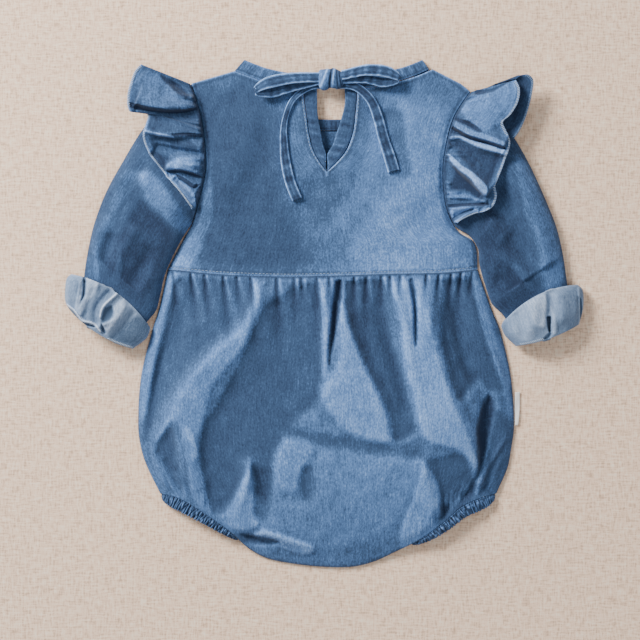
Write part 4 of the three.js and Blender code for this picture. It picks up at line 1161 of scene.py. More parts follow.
RIGHT_SLEEVE_AREAS = [
    area(
        0.24, 8, (164, 138), (172, 134), (188, 104), (202, 66), (207, 28), (190, 24), (184, 60), (173, 92),
    ),
    area(-0.18, 12, (140, 96), (156, 80), (174, 44), (184, 20), (160, 0), (146, 16), (134, 60)),
    area(0.14, 3, (166, 44), (176, 34), (182, 22), (177, 20), (170, 30), (162, 40)),
]
LEFT_RUFFLE_FOLDS = [
    fold(6, 1.6, 13, (-163, 181.5), (-152.1, 177.8), (-134.6, 176.2), (-109.7, 178.8), start=0.02, end=0.1),
    fold(-3, 7, 2, (-163, 179.5), (-152.1, 175.8), (-134.6, 174.2), (-109.7, 176.8), start=0.02, end=0.1),
    fold(4.4, 1.6, 12, (-155, 157.6), (-146, 155.4), (-134.6, 153.8), (-105.1, 154.6), start=0.02, end=0.1),
    fold(-2.4, 5, 2, (-150, 154), (-134.6, 151.4), (-105.1, 152.4), start=0.1, end=0.1),
    fold(2.4, 2, 7, (-146, 150), (-126.3, 145.2), (-104.2, 141.8), start=0.2, end=0.1),
    fold(-3.2, 5, 1.6, (-150, 147), (-136, 143.4), (-126.3, 142), (-104.2, 139), start=0.2, end=0.1),
    fold(-3, 9, 9, (-150, 140), (-140, 134), (-133, 131), start=0.1, end=0.2),
    fold(3.4, 10, 8, (-130, 133), (-118, 133), (-106, 132), start=0.2, end=0.1),
    fold(3.2, 1.6, 8, (-138, 125), (-122.6, 125.2), (-107.9, 120.2), start=0.05, end=0.1),
    fold(-3.4, 4, 1.6, (-136, 122), (-122.6, 122), (-107.9, 117), start=0.05, end=0.1),
    fold(2.4, 1.4, 5, (-131, 121), (-119.8, 114.8), (-112, 109), start=0.1, end=0.1),
    fold(-2.6, 3, 1.4, (-130, 118), (-119.8, 111.6), (-112, 105), start=0.1, end=0.1),
    fold(2.6, 2, 3, (-133, 117.5), (-124.4, 108.4), (-112.5, 93), start=0.05, end=0.1),
    fold(-2, 2, 2, (-127, 116), (-120, 108), (-112, 98), start=0.1, end=0.1),
    fold(-2.6, 2, 3, (-136, 202), (-122, 194), (-110, 190.5), start=0.3, end=0.05),
    fold(2.2, 3, 4, (-140, 198), (-124, 190), (-110.6, 186), start=0.3, end=0.05),
    fold(-2.2, 2, 2, (-122, 186), (-114, 183.5), (-110, 184), start=0.3, end=0.05),
    fold(2.4, 10, 12, (-160, 206), (-150, 196), (-136, 188), start=0.1, end=0.4),
]
RIGHT_RUFFLE_FOLDS = [
    fold(3, 10, 14, (150, 186), (134, 178), (116, 178), start=0.2, end=0.2),
    fold(-3.4, 2, 5, (134.6, 157.6), (122.1, 165), (110, 172.4), start=0.3, end=0.05),
    fold(
        6, 13, 1.6, (155, 143.6), (138.1, 150.4), (127.5, 153.6), (117.7, 158), (108, 163.4), start=0.02,
        end=0.05,
    ),
    fold(
        -3.6, 2, 3, (154.1, 141), (138.1, 147.4), (127.5, 150.4), (117.7, 154.8), (108, 160), start=0.02,
        end=0.05,
    ),
    fold(3, 4, 2.4, (154, 138), (138, 144), (124, 150), (114, 154), (106, 152.6), start=0.02, end=0.1),
    fold(-2.6, 8, 3, (152, 132), (138, 138.6), (122, 144.4), (108, 147), start=0.1, end=0.1),
    fold(2.4, 2, 6, (138, 125), (121.3, 138.4), (106, 147), start=0.2, end=0.05),
    fold(-2.2, 3, 2, (134.6, 124.6), (121.3, 135.4), (108, 143), start=0.2, end=0.05),
    fold(
        6.5, 12, 1.8, (141, 102.5), (134.6, 106.6), (128.3, 114.4), (121.3, 120), (112.4, 129), (104, 139),
        start=0.02,
    ),
    fold(-4.6, 3, 7, (134, 101), (126, 109), (118, 116), (109, 124), (103, 130), start=0.05, end=0.05),
    fold(2.2, 2, 3, (120, 106.4), (112, 105.6), (104, 105.8), start=0.3, end=0.05),
    fold(-2.4, 2.4, 2, (122, 102.6), (112, 102.8), (104, 103), start=0.3, end=0.05),
    fold(2.4, 2, 3, (141, 97), (127.5, 100), (108, 102), start=0.05, end=0.05),
    fold(-2.4, 2.4, 2, (139, 94), (127.5, 96.6), (108, 97.6), start=0.05, end=0.05),
    fold(3, 2, 4, (144.3, 92.6), (127.5, 93), (110, 90), start=0.05, end=0.05),
    fold(-2.6, 2, 2, (138, 89), (127.5, 89.4), (112, 85), start=0.1, end=0.05),
    fold(2.4, 2, 3, (134, 88.5), (122, 86), (113, 79.5), start=0.05, end=0.05),
]
# Facets painted pale as lit and hollows painted dark as shaded, between the ruffles' folds
LEFT_RUFFLE_AREAS = [
    area(
        0.14, 4, (-158.5, 211.6), (-144.7, 207), (-137.3, 200.6), (-124.4, 187.7), (-117.1, 184),
        (-120.8, 179.4), (-139.2, 177.5), (-157.6, 181.2), (-161.3, 193.2),
    ),
    area(
        -0.32, 2.5, (-141, 206.1), (-126.3, 198.7), (-117.1, 189.5), (-117.1, 186.7), (-124.4, 188.6),
        (-132.7, 195.9), (-139.2, 202.4),
    ),
    area(
        -0.4, 1.5, (-168.6, 182.6), (-153, 178.5), (-134.6, 176.2), (-120.8, 176.8), (-109.7, 178.9),
        (-109.7, 176.8), (-121.7, 174.3), (-137.3, 173.7), (-153, 175.2), (-166.8, 177.5),
    ),
    area(
        -0.12, 3, (-153, 174.3), (-111.6, 174.3), (-107.9, 157.3), (-130, 156.4), (-148.4, 158.2),
        (-152.1, 165.6),
    ),
    area(
        -0.4, 1.2, (-131.8, 155.3), (-120.8, 156.2), (-106.5, 155.3), (-106.5, 153), (-120.8, 153.6),
        (-130, 153.4),
    ),
    area(
        0.36, 1.2, (-154.4, 158.7), (-146.5, 156.5), (-131.8, 153.6), (-130.9, 151.8), (-146.5, 154.3),
        (-153.9, 156.4),
    ),
    area(
        -0.22, 3, (-146.5, 153.6), (-130, 151.6), (-116.2, 149.7), (-109.7, 142.6), (-124.4, 144.2),
        (-136.4, 148.1), (-145.6, 150.8),
    ),
    area(
        0.3, 5, (-132.7, 132.4), (-124.4, 135.2), (-113.4, 135.2), (-111.6, 128.7), (-117.1, 123.2),
        (-134.6, 125.1), (-136.4, 127.8),
    ),
    area(
        -0.3, 4, (-145.6, 139.8), (-131.8, 133.3), (-136.4, 128.7), (-137.3, 123.2), (-143.8, 128.7),
        (-150.2, 137.9),
    ),
    area(
        -0.42, 1.3, (-136.4, 123.6), (-124.4, 124.7), (-109.7, 120.3), (-105.6, 117.7), (-111.6, 118.2),
        (-124.4, 122.3), (-132.7, 121.6),
    ),
    area(
        -0.42, 1.3, (-128.1, 120.9), (-120.8, 117.5), (-112.5, 112), (-107.4, 112.6), (-112.5, 108.5),
        (-120.8, 112.7), (-126.3, 117.3),
    ),
    area(
        0.34, 3, (-135.5, 122.3), (-128.1, 118.6), (-118.9, 112.2), (-111.6, 102), (-112.5, 92.8),
        (-124.4, 106.6), (-139.2, 118.6),
    ),
    area(-0.4, 1.3, (-111.6, 102), (-107.7, 110.3), (-107.1, 105.7), (-109.9, 91.9), (-111.1, 93.8)),
]
RIGHT_RUFFLE_AREAS = [
    area(
        0.22, 5, (129.2, 188.2), (141.7, 192.2), (159.4, 200.2), (165.6, 197), (163, 179.3), (155.9, 167.8),
        (148.8, 162.4), (136.3, 157.1), (121.3, 171.3), (118.6, 178.4),
    ),
    area(
        -0.34, 2, (131, 193.1), (145.2, 194.4), (159.4, 201), (154.1, 196.6), (145.2, 191.7),
        (131.9, 189.5),
    ),
    area(
        -0.4, 1.3, (112.8, 170), (125.7, 165.5), (135.5, 158.2), (133.7, 156.7), (124.8, 162),
        (114.2, 167.3),
    ),
    area(
        0.25, 2, (112.4, 167.3), (121.3, 162), (131, 156.7), (138.1, 155.1), (154.1, 148.2), (153.2, 144.7),
        (138.1, 149.3), (125.7, 152.8), (115, 159.9), (110.6, 164),
    ),
    area(
        -0.55, 1.4, (110.2, 162.4), (125.7, 153.7), (139.9, 149.3), (154.5, 143.8), (154.5, 141.6),
        (139.9, 147), (124.8, 151.1), (111.9, 158.5),
    ),
    area(
        0.45, 1.6, (107.5, 153.1), (118.6, 153.7), (129.2, 149.5), (154.1, 142), (158.1, 136.7),
        (148.8, 138.9), (134.6, 142.7), (122.1, 148.8), (116.8, 151.6), (109.3, 150.7),
    ),
    area(
        -0.3, 5, (109.7, 149.1), (118.6, 149.1), (134.6, 141.1), (154.1, 135.8), (148.8, 125.1),
        (145.2, 116.3), (139.9, 110), (127.5, 123.4), (113.3, 141.1), (107.1, 148.2),
    ),
    area(
        0.45, 1.6, (104.8, 138.3), (109.7, 137), (118.6, 128.2), (129.2, 121.1), (140.3, 109.2),
        (138.1, 101.9), (130.1, 110.6), (125.7, 116.8), (115.9, 123.9), (110.2, 130.5), (107.5, 135.6),
    ),
    area(
        -0.42, 4, (112.4, 127.8), (118.6, 121.6), (125.7, 114.7), (130.1, 109.2), (136.3, 102.1),
        (134.6, 98.5), (122.1, 106.9), (109.7, 108.3), (113.3, 121.6),
    ),
    area(
        0.18, 2, (106.2, 105.6), (121.3, 104.7), (138.1, 97.6), (134.6, 95.8), (121.3, 99.4),
        (107.1, 100.3),
    ),
    area(-0.4, 1.3, (107.5, 94.5), (121.3, 95.7), (140.3, 95.4), (140.3, 93.5), (121.3, 93), (108.8, 91.9)),
    area(
        0.32, 3, (107.9, 91.4), (121.3, 92.3), (134.6, 91), (145.2, 91.4), (139.9, 87.9), (127.5, 87),
        (114.2, 78.1), (109.7, 82.5),
    ),
    area(
        -0.34, 1.2, (110.8, 82.9), (121.3, 88.6), (128.4, 91.2), (128.4, 89.1), (121.3, 85.7),
        (112.2, 80.2),
    ),
]
LEFT_RUFFLE_HEM = hem_line(
    (-158.2, 215.4, 14), (-163.5, 210, 13), (-167, 201, 14), (-169.6, 190, 17), (-169.4, 180, 19),
    (-167.4, 174.2, 18), (-161, 175.4, 14), (-155.8, 176.2, 15.5), (-152.6, 171, 14), (-154.4, 163, 16),
    (-156.4, 156, 17.5), (-155.8, 149, 15), (-152, 140, 14.5), (-146.4, 132, 16), (-140, 124, 14),
    (-132.6, 114.4, 14), (-124, 104.4, 13.5), (-114.2, 90.6, 9.5),
)
RIGHT_RUFFLE_HEM = hem_line(
    (165.2, 201.6, 18), (168.4, 193.4, 20), (166.6, 182, 21), (160.4, 171.6, 20.5), (154, 165.4, 18.5),
    (156.4, 158.4, 17.5), (160, 150, 18.5), (159.4, 142.6, 19), (156.6, 134.4, 15.5),
    (153.6, 125.6, 15.5), (149.6, 116, 17.5), (147.2, 109.6, 19), (148.8, 101.6, 16), (146.2, 93.6, 15),
    (140, 89, 15), (130, 86.4, 14.5), (121, 82.4, 13), (114.6, 78.6, 10),
)
RIGHT_RUFFLE_BACK_HEM = hem_line(
    (165.2, 202.6, 17), (170.6, 206, 16.5), (176.6, 206, 16), (180.6, 201.4, 15), (179.6, 191, 14),
    (176.8, 179, 13.5), (173.4, 168, 13), (168.6, 158, 13), (164, 151.6, 13),
)
# Ribbons of the bow: places along the middle and half the width
TIE = "x y z half"
LEFT_LOOP = table(
    TIE,
    (-3, 202.2, 10.6, 3.4),
    (-28, 196.6, 10.4, 4.4),
    (-46, 191.6, 10.2, 4.4),
    (-60.4, 192.4, 12.6, 3),
    (-49, 199.4, 15.2, 5),
    (-28, 203.4, 15.8, 4.8),
    (-3, 204.6, 13.4, 4.2),
)
RIGHT_LOOP = table(
    TIE,
    (14, 202.6, 10.6, 3.4),
    (36, 203.4, 10.6, 4),
    (52, 200.6, 10.2, 4.6),
    (65, 203.2, 12.6, 3.2),
    (54, 209, 15.2, 5),
    (36, 210.4, 15.8, 5),
    (14, 206, 13.4, 4.4),
)
LEFT_TAIL = table(
    TIE,
    (1, 197, 0, 3),
    (-7.4, 197.6, 0, 2.8),
    (-18, 193.4, 0, 2.6),
    (-28.6, 183.4, 0, 2.4),
    (-34.6, 165, 0, 2.6),
    (-35, 148, 0, 3.4),
    (-33.4, 131, 0, 4.2),
    (-29.6, 114, 0, 4.5),
    (-23.6, 99, 0, 4.5),
)
RIGHT_TAIL = table(
    TIE,
    (10, 197.4, 0, 3),
    (18.8, 197.8, 0, 3),
    (30, 195, 0, 3.6),
    (40.6, 184.4, 0, 4),
    (46.6, 169.4, 0, 4.4),
    (51, 152.6, 0, 4.6),
    (56, 137, 0, 5),
    (60, 123.4, 0, 5.2),
)


def over_and_under(top, base):
    """Places across the top of a tube and back under it, and which of them are on the top."""
    upper = np.concatenate([np.ones(len(top)), np.zeros(len(base)), [1]]) > 0
    return np.concatenate([top, base, top[:1]]), upper


def tube_sheet(tube, folds, areas, steps, edge_share, seed, seam_side=None, rim=0.0, shade=0.0):
    """A flat tube: a top that arches over a base, from edge to edge of each station."""
    rows, top_steps, base_steps = steps
    across, upper = over_and_under(
        spaced(np.linspace(0, 1, top_steps + 1), 0.6), spaced(np.linspace(1, 0, base_steps + 1), 0.6)[1:-1]
    )
    s, across = np.meshgrid(np.linspace(0, 1, rows + 1), across, indexing="ij")
    at = {name: read(tube, "at", s, name) for name in TUBE.split()}
    dx, dy = at["inner_x"] - at["outer_x"], at["inner_y"] - at["outer_y"]
    bow = 4 * at["sag"] * across * (1 - across) / np.hypot(dx, dy)
    x = at["outer_x"] + dx * across - dy * bow
    y = at["outer_y"] + dy * across + dx * bow
    if seam_side:
        x[0] = side_x(seam_side, y[0]) + math.copysign(0.4 * MM, x[0, 0])
    wide = np.abs(2 * across - 1)
    lift = edge_share * at["top"]
    arched = mix(lift, at["top"], (1 - wide**3) ** 0.6)
    tone = tone_at(areas, x, y)
    height = folds_at(folds, x, y) + 4 * MM * tone
    height += crease_layers(x, y, (0.6, 34, 0.9, 2.0, seed), (0.25, 80, 1.1, 1.8, seed + 1))
    if seam_side:
        height += puckers(y, s * 95 * MM, 6 * MM, 8 * MM, 0.8 * MM, seed + 2)
        height *= smooth(s, 0, 0.03) * (at["base"] < 0.5 * MM)
    rims = bell(s, 0.16) + bell(1 - s, 0.16)
    z = at["base"] + np.where(upper, arched + height * arch(across) + rim * rims, lift * wide**9)
    sheet = np.stack([x, y, z], -1)
    # Painted light and shade from the areas and the given shade, over pale worn ridges, with a pale lip at
    # the roll's edge
    wear_and_shade = wear_and_crease_shade(sheet, 30, 0.09) + 0.9 * tone + shade + 0.18 * rim / MM * bell(s, 0.05)
    return sheet, np.clip(np.where(upper, wear_and_shade, 0.5), 0, 1)


def casing_sheet(start, end, seed):
    """A leg hem drawn up by its elastic into small hard gathers."""
    t, upper = over_and_under(np.linspace(0, 1, 10 * CASING_GATHERS + 1), np.linspace(1, 0, 60)[1:-1])
    down, t = np.meshgrid(np.linspace(0, 1, 15), t, indexing="ij")
    at = mix(start, end, t)
    edge, out = on_curve(HEM_LINE, at), hem_outward(at)
    wide = np.abs(2 * t - 1)
    shift = ripple(0.3 * t, 0 * t, 40, seed)
    drawn = ripple(0.3 * t, 0 * t, 120, seed + 1)
    lean = 0.5 * ripple(0.3 * t, 0.02 * down, 90, seed + 2)
    ticks = ripple(0.15 * t, 0.004 * down, 460, seed + 3)
    gather = 1 - 2 * np.abs(np.sin(np.pi * (CASING_GATHERS * t + 0.9 * shift + lean))) ** 0.8
    gather = np.clip(gather * (0.55 + 0.6 * drawn) - 1.3 * ticks, -1.3, 1.3)
    width = CASING_WIDTH * (1 - wide**4) ** 0.6 * (1.15 - 0.75 * t) + 1.1 * MM
    reach = 0.2 * MM + down * width * (1 - 0.06 * gather * upper)
    lift = 1.9 * MM
    crown = np.sin(np.pi * np.clip(down * 0.86 + 0.1, 0, 1)) ** 0.5
    arched = mix(lift, np.maximum(edge[..., 2] - down * 1.5 * MM, 5 * MM), (1 - wide**6) ** 0.5)
    stitched = 1 - 0.5 * bell(down - 0.16, 0.07) - 0.3 * bell(down - 0.84, 0.07)
    depth = MM * (1 - wide**8) * stitched
    z = np.where(upper, arched + depth * (0.9 * crown - 1.25 * gather * (0.4 + 0.6 * crown)), lift * wide**9)
    sheet = np.stack([edge[..., 0] + out[..., 0] * reach, edge[..., 1] + out[..., 1] * reach, z], -1)
    # Gathers' crests painted pale and troughs in painted shade, with painted shade along the stitching
    wear_and_shade = np.where(upper, 0.34 - 0.28 * gather * (1 - wide**8) - 0.15 * (1 - stitched), 0.4)
    return sheet, np.clip(wear_and_shade, 0, 1)


def ruffle_sheet(side, hem, root, under, seed, folds=(), areas=(), steps=(230, 70), lift=1.8, waves=1):
    """A ruffle from the armhole seam to its hem; it lies on what is under it or stands over it."""
    out = -1 if side == "left" else 1
    t, reach = both_ways(steps[0] + 1, steps[1] + 1)
    root_y = mix(root[0] * MM, root[1] * MM, t)
    root_x = side_x(side, root_y) + 1.2 * out * MM
    edge = on_curve(hem, t)
    x, y = mix(root_x, edge[..., 0], reach), mix(root_y, edge[..., 1], reach)
    rise = mix(edge_top(root_y) + lift * MM, edge[..., 2], reach**0.7)
    tone = tone_at(areas, x, y)
    pleat = 0.8 * folds_at(folds, x, y) + 3 * MM * tone
    gathers = ripple(0.13 * t, 4 * MM * reach, 1 / (3.4 * MM), seed)
    gathers = gathers * bell(reach, 0.3) * smooth(reach, 0, 0.05)
    fine = creases(x, y, 70, 0.0, 2.4, seed + 1)
    z = rise + waves * (pleat + 2.2 * MM * gathers) + 0.35 * MM * fine * smooth(reach, 0, 0.2)
    sheet = np.stack([x, y, np.maximum(z, under.heights(x, y) + WALL + 0.3 * MM)], -1)
    # Painted light and shade from the areas, painted shade along the seam, a pale hem and a line of painted
    # shade inside it
    wear_and_shade = wear_and_crease_shade(sheet, 10, 0.1) - 0.06 + 0.9 * tone - 0.35 * bell(reach, 0.03)
    wear_and_shade += 0.32 * bell(1 - reach, 0.035) - 0.12 * bell(reach - 0.84, 0.05)
    return sheet, np.clip(wear_and_shade, 0, 1)


def worn_edges_and_shade_line(wear_and_shade, across):
    """Pale wear along both folded edges of a narrow band, with a line of painted shade beside it."""
    from_edge = np.minimum(across, 1 - across)
    return np.clip(wear_and_shade + 0.62 * bell(from_edge, 0.13) - 0.2 * bell(from_edge - 0.286, 0.13), 0, 1)


def loop_sheet(rows, seed):
    """A loop of the bow: a band that runs out, turns over and comes back to the knot."""
    path = line_through(rows, "x y z half")
    lean = unit(np.array([0.18, np.sign(rows["x"][3] - rows["x"][0])]))
    along, across = both_ways(130, 12)
    at = on_curve(path, along)
    side = (2 * across - 1) * at[..., 3]
    wave = ripple(0.13 * along, 2 * MM * across, 1 / (5 * MM), seed)
    z = at[..., 2] + 0.45 * MM * wave + 0.3 * MM * np.sin(np.pi * across)
    sheet = np.stack([at[..., 0] + lean[0] * side, at[..., 1] + lean[1] * side + 0.3 * MM * wave, z], -1)
    # Pucker crests painted pale and troughs in painted shade, paler past the turn
    return sheet, worn_edges_and_shade_line(0.36 + 0.3 * wave + 0.1 * smooth(along, 0.4, 0.6), across)


def tail_sheet(rows, under, seed):
    """A tail of the tie, lying on the back bodice, the neckband and the bindings."""
    path = line_through(rows, "x y half")
    along, across = both_ways(140, 12)
    at = on_curve(path, along)
    step = on_curve(np.gradient(path, axis=0), along)
    step /= np.linalg.norm(step[..., :2], axis=-1, keepdims=True)
    side = (2 * across - 1) * at[..., 2]
    x, y = at[..., 0] - step[..., 1] * side, at[..., 1] + step[..., 0] * side
    seat = np.maximum.reduce([under.heights(x, y + d) for d in (-2 * MM, 0, 2 * MM)])
    seat = blur(np.maximum(seat, bodice_height(x, y)), 4)
    wave = ripple(0.12 * along, 3 * MM * across, 1 / (5.5 * MM), seed)
    z = seat + BAND_WALL + MM * (0.5 + 0.45 * wave + 0.35 * np.sin(np.pi * across) ** 0.5)
    # Pucker crests painted pale and troughs in painted shade
    return np.stack([x, y, z], -1), worn_edges_and_shade_line(0.36 + 0.34 * wave, across)


def knot_sheet():
    """The knot: a band wrapped once round the ribbons, pinched at its middle."""
    turn, along = np.meshgrid(np.linspace(0, 2 * np.pi, 73), np.linspace(-1, 1, 41), indexing="ij")
    round_end = (1 - np.abs(along) ** 5) ** 0.5
    wrap = 1.12 - 0.1 * along - 0.1 * bell(along + 0.05, 0.14)
    x = (5.6 + 11.6 * along) * MM
    y = (203.2 + 8 * round_end * wrap * np.cos(turn) + 0.8 * np.sin(5 * along + 1)) * MM
    crease = 0.7 * bell(along - 0.1 * np.cos(turn) + 0.02, 0.07)
    crease += 0.4 * bell(along + 0.06 * np.cos(turn) - 0.5, 0.05)
    crease += 0.4 * bell(along + 0.1 * np.cos(turn) - 0.72, 0.05)
    rim = bell(along + 0.55 - 0.3 * np.cos(turn), 0.07) + bell(along - 0.18 - 0.1 * np.cos(turn), 0.06)
    z = (10.4 + 4.4 * round_end * wrap * np.sin(turn) * (1 - 0.5 * crease)) * MM
    # Painted shade in the creases and painted highlight along the rims, a little darker towards one end
    return np.stack([x, y, z], -1), np.clip(0.5 - 0.12 * along - 0.7 * crease + 0.45 * rim, 0, 1)


def label_sheet():
    """The label in the side seam: a folded tape, narrower at its lower end."""
    low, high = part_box("side_label")
    across, along = both_ways(8, 30)
    taper = 1 - 0.35 * along**3
    x = mix(low[0], mix(low[0], high[0], taper), across)
    y = mix(high[1], low[1], along)
    sheet = np.stack([x, y, high[2] - 0.1 * MM + 0.2 * MM * np.sin(7 * along + 3 * across)], -1)
    return sheet, wear_and_crease_shade(sheet)


def with_painted_shade(part, by):
    """A grid of points and its tone, made darker: painted shade on a part lying under others."""
    sheet, wear_and_shade = part
    return sheet, np.clip(wear_and_shade - by, 0, 1)


def stitch_shape():
    """One stitch along X, 1 long, with a round back: its corners and faces."""
    corners, faces = [], []
    for at, size in ((-0.5, 0.35), (-0.25, 1), (0.25, 1), (0.5, 0.35)):
        corners += [(at, size * math.cos(a), size * math.sin(a)) for a in np.arange(6) * math.pi / 3]
    for ring in range(3):
        for i in range(6):
            a, b = ring * 6 + i, ring * 6 + (i + 1) % 6
            faces.append((a, b, b + 6, a + 6))
    faces.append(tuple(range(5, -1, -1)))
    faces.append(tuple(range(18, 24)))
    return corners, faces


def thread_piece(name, stitches):
    """Stitches as one mesh; each has its middle, its length and half its width and height."""
    corners, shape = stitch_shape()
    points, faces = [], []
    for middle, length, across, up in stitches:
        faces += [tuple(len(points) + i for i in face) for face in shape]
        points += [tuple(middle + a * length + b * across + c * up) for a, b, c in corners]
    return new_piece(name, points, faces)


def running_stitches(name, lines, under, material, length=2.3, gap=0.8, radius=0.2):
    """Rows of stitches lying on the cloth along some lines."""
    made = []
    for line in lines:
        far = lengths_along(line)
        for start in np.arange(0, far[-1] - length * MM, (length + gap) * MM):
            ends = [point_at(line, far, at) for at in (start, start + length * MM)]
            ends = [np.append(end, under.height(*end)) for end in ends]
            along = ends[1] - ends[0]
            across = unit(np.array([-along[1], along[0], 0]))
            up = np.cross(unit(along), across)
            middle = (ends[0] + ends[1]) / 2
            middle[2] = under.height(*middle[:2]) + 0.4 * radius * MM
            made.append((middle, along, across * radius * MM, up * 0.8 * radius * MM))
    return finished(thread_piece(name, made), material)


def overlock(name, lines, material, width=2.6, pitch=1.5, radius=0.34):
    """Threads wrapped over a raw edge: slanted stitches across it, close together."""
    made = []
    for line, inward in lines:
        far = lengths_along(line)
        for start in np.arange(pitch * MM, far[-1] - pitch * MM, pitch * MM):
            here, there = (point_at(line, far, at) for at in (start, start + MM))
            tangent = unit(there - here)
            inner = unit(point_at(inward, far, start) - here)
            up = np.cross(tangent, inner)
            up *= math.copysign(1, up[2])
            along = unit(inner * 0.95 + tangent * 0.3)
            middle = here + along * 0.42 * width * MM + up * 0.1 * MM
            made.append((middle, along * width * MM, np.cross(up, along) * radius * MM, up * radius * MM))
    piece = thread_piece(name, made)
    edit_all(bpy.ops.mesh.normals_make_consistent, inside=False)
    return finished(piece, material)


# Back of the garment
back_body = cloth("back_body", [body_sheet()], WALL, blue_denim)
right_half = [grid[:, ::-1] for grid in bodice_half("right")]
back_bodice = cloth("back_bodice", [bodice_half("left"), right_half], WALL, blue_denim)

# Front panels, under the back
cloth("front_body", [body_front()], FRONT_WALL, blue_denim)
# Painted shade on the front bodice, under the back
cloth("front_bodice", [with_painted_shade(bodice_front(), 0.08)], FRONT_WALL, blue_denim)

# Neckband and keyhole bindings
# Painted shade on the front neckband
front_band = with_painted_shade(neck_strip(FRONT_NECK, 220, 0.3, 71.0), 0.22)
cloth("neckband_front", [front_band], BAND_WALL, blue_denim)
bands = []
for side, rows, seed in (("left", NECK_LEFT, 72.0), ("right", NECK_RIGHT, 74.0)):
    bands.append(cloth("neckband_back_" + side, [neck_strip(rows, seed=seed)], BAND_WALL, blue_denim))
for side, inward, seed in (("left", 1, 76.0), ("right", -1, 78.0)):
    strip = binding_sheet(side, inward, seed)
    bands.append(cloth("keyhole_binding_" + side, [strip], BAND_WALL, blue_denim))

# Sleeves and cuffs
sleeves, cuff_edges = {}, []
for side, tube, folds, areas, seed in (
    ("left", LEFT_SLEEVE, LEFT_SLEEVE_FOLDS, LEFT_SLEEVE_AREAS, 81.0),
    ("right", RIGHT_SLEEVE, RIGHT_SLEEVE_FOLDS, RIGHT_SLEEVE_AREAS, 87.0),
):
    sleeve = tube_sheet(tube, folds, areas, (110, 92, 24), 0.3, seed, seam_side=side, shade=-0.2)
    sleeves[side] = cloth("sleeve_" + side, [sleeve], WALL, blue_denim, tube=True)
for side, tube, folds, areas, first, last, seed in (
    ("left", LEFT_CUFF, LEFT_CUFF_FOLDS, LEFT_CUFF_AREAS, 90, 147, 84.0),
    ("right", RIGHT_CUFF, RIGHT_CUFF_FOLDS, RIGHT_CUFF_AREAS, 82, 136, 90.0),
):
    cuff = tube_sheet(tube, folds, areas, (90, 150, 28), 0.36, seed, rim=0.9 * MM)
    cuff_edges.append((cuff[0][-2, first:last], cuff[0][-8, first:last]))
    cloth("cuff_" + side, [cuff], CUFF_WALL, pale_denim, tube=True)

# Leg casings
for side, start, end, seed in (("left", 0.004, 0.245, 93.0), ("right", 0.996, 0.735, 95.0)):
    cloth("leg_casing_" + side, [casing_sheet(start, end, seed)], WALL, blue_denim, tube=True)

# Ruffles
under_left, under_right = (Surface(back_bodice, sleeves[side]) for side in ("left", "right"))
left_ruffle = ruffle_sheet(
    "left", LEFT_RUFFLE_HEM, (199.5, 91), under_left, 101.0, LEFT_RUFFLE_FOLDS, LEFT_RUFFLE_AREAS
)
cloth("ruffle_left", [left_ruffle], WALL, blue_denim)
right_ruffle = ruffle_sheet(
    "right", RIGHT_RUFFLE_HEM, (192.5, 79), under_right, 103.0, RIGHT_RUFFLE_FOLDS, RIGHT_RUFFLE_AREAS
)
back_lobe, lobe_wear_and_shade = ruffle_sheet(
    "right", RIGHT_RUFFLE_BACK_HEM, (192, 150), under_right, 105.0, steps=(90, 50), lift=1.2, waves=0.5
)
back_lobe[..., 2] = np.minimum(back_lobe[..., 2], 16 * MM)
# Painted shade on the back lobe, under the ruffle
cloth("ruffle_right", [right_ruffle, with_painted_shade((back_lobe, lobe_wear_and_shade), 0.22)], WALL, blue_denim)

# Bow
cloth("tie_knot", [knot_sheet()], BAND_WALL, blue_denim, tube=True)
under_tie = Surface(back_bodice, *bands)
for side, loop, tail, seed in (
    ("left", LEFT_LOOP, LEFT_TAIL, 111.0),
    ("right", RIGHT_LOOP, RIGHT_TAIL, 115.0),
):
    cloth("tie_loop_" + side, [loop_sheet(loop, seed)], BAND_WALL, blue_denim, tube=True)
    cloth("tie_tail_" + side, [tail_sheet(tail, under_tie, seed + 1)], BAND_WALL, blue_denim)

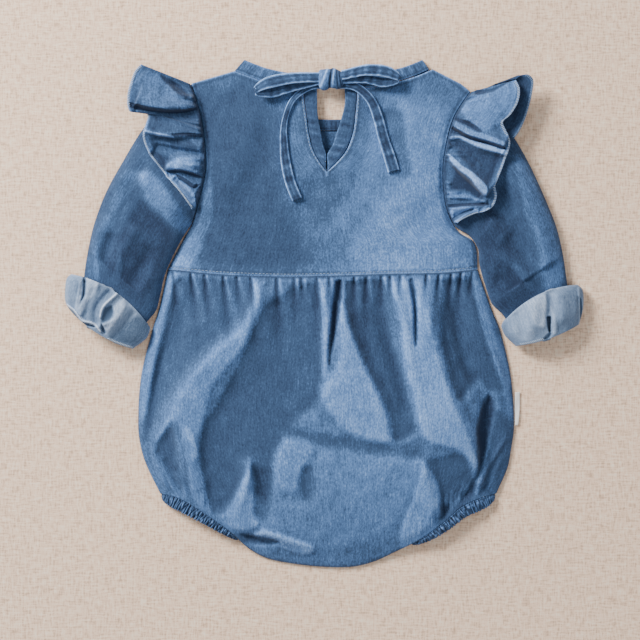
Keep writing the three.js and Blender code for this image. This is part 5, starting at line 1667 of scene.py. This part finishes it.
# Stitching along the waist and beside the keyhole, then the overlock on the raw edges
waist_x = np.linspace(-134, 131, 300) * MM
slit_y = np.linspace(123.6, 194, 120) * MM
seam_rows = [np.column_stack([waist_x, waist_y(waist_x) + 2.2 * MM])]
for side, out in (("left", -1), ("right", 1)):
    seam_rows.append(np.column_stack([read(KEYHOLE, "y", slit_y, side + "_seam") + out * 1.3 * MM, slit_y]))
running_stitches("seam_stitching", seam_rows, Surface(back_body, back_bodice), seam_thread)
ruffle_edges = [(sheet[:, -1], sheet[:, -8]) for sheet, _ in (left_ruffle, right_ruffle)]
overlock("ruffle_overlock", ruffle_edges, light_thread)
overlock("cuff_overlock", cuff_edges, light_thread)
overlock("back_lobe_overlock", [(back_lobe[12:, -1], back_lobe[12:, -6])], blue_thread)

cloth("side_label", [label_sheet()], LABEL_WALL, label_tape())


def soft_light(name, place, size, power):
    """A square lamp, turned to the middle of the garment."""
    lamp = bpy.data.lights.new(name, "AREA")
    lamp.size = size
    lamp.energy = power
    light = bpy.data.objects.new(name, lamp)
    light.location = place
    light.rotation_euler = (-Vector(place)).to_track_quat("-Z", "Y").to_euler()
    bpy.context.collection.objects.link(light)


# Floor, light and camera: in metres, the camera over the middle of the photo
FLOOR_SIZE = 6
ROOM_COLOUR = (0.9, 0.94, 1, 1)
ROOM_STRENGTH = 0.5
CAMERA_PLACE = (-3.7 * MM, -5.4 * MM, 2.0)
FRAME_WIDTH = 556.8 * MM
SENSOR_WIDTH = 36

bpy.ops.object.select_all(action="DESELECT")
bpy.ops.mesh.primitive_plane_add(size=FLOOR_SIZE)
floor = bpy.context.active_object
floor.name = "floor"
floor.data.materials.append(
    pale_floor(low=(0.57, 0.38, 0.255), mid=(0.93, 0.645, 0.455), high=(1.0, 0.82, 0.63))
)
soft_light("window", (-1.5, 1.35, 1.15), 0.8, 112)
soft_light("fill", (1.2, -1.0, 1.9), 1.8, 11)
world = bpy.data.worlds.new("room")
world.use_nodes = True
background = world.node_tree.nodes["Background"]
background.inputs["Color"].default_value = ROOM_COLOUR
background.inputs["Strength"].default_value = ROOM_STRENGTH
bpy.context.scene.world = world
lens = bpy.data.cameras.new("camera")
lens.sensor_width = SENSOR_WIDTH
lens.lens = SENSOR_WIDTH * CAMERA_PLACE[2] / FRAME_WIDTH
camera = bpy.data.objects.new("camera", lens)
camera.location = CAMERA_PLACE
bpy.context.collection.objects.link(camera)
bpy.context.scene.camera = camera
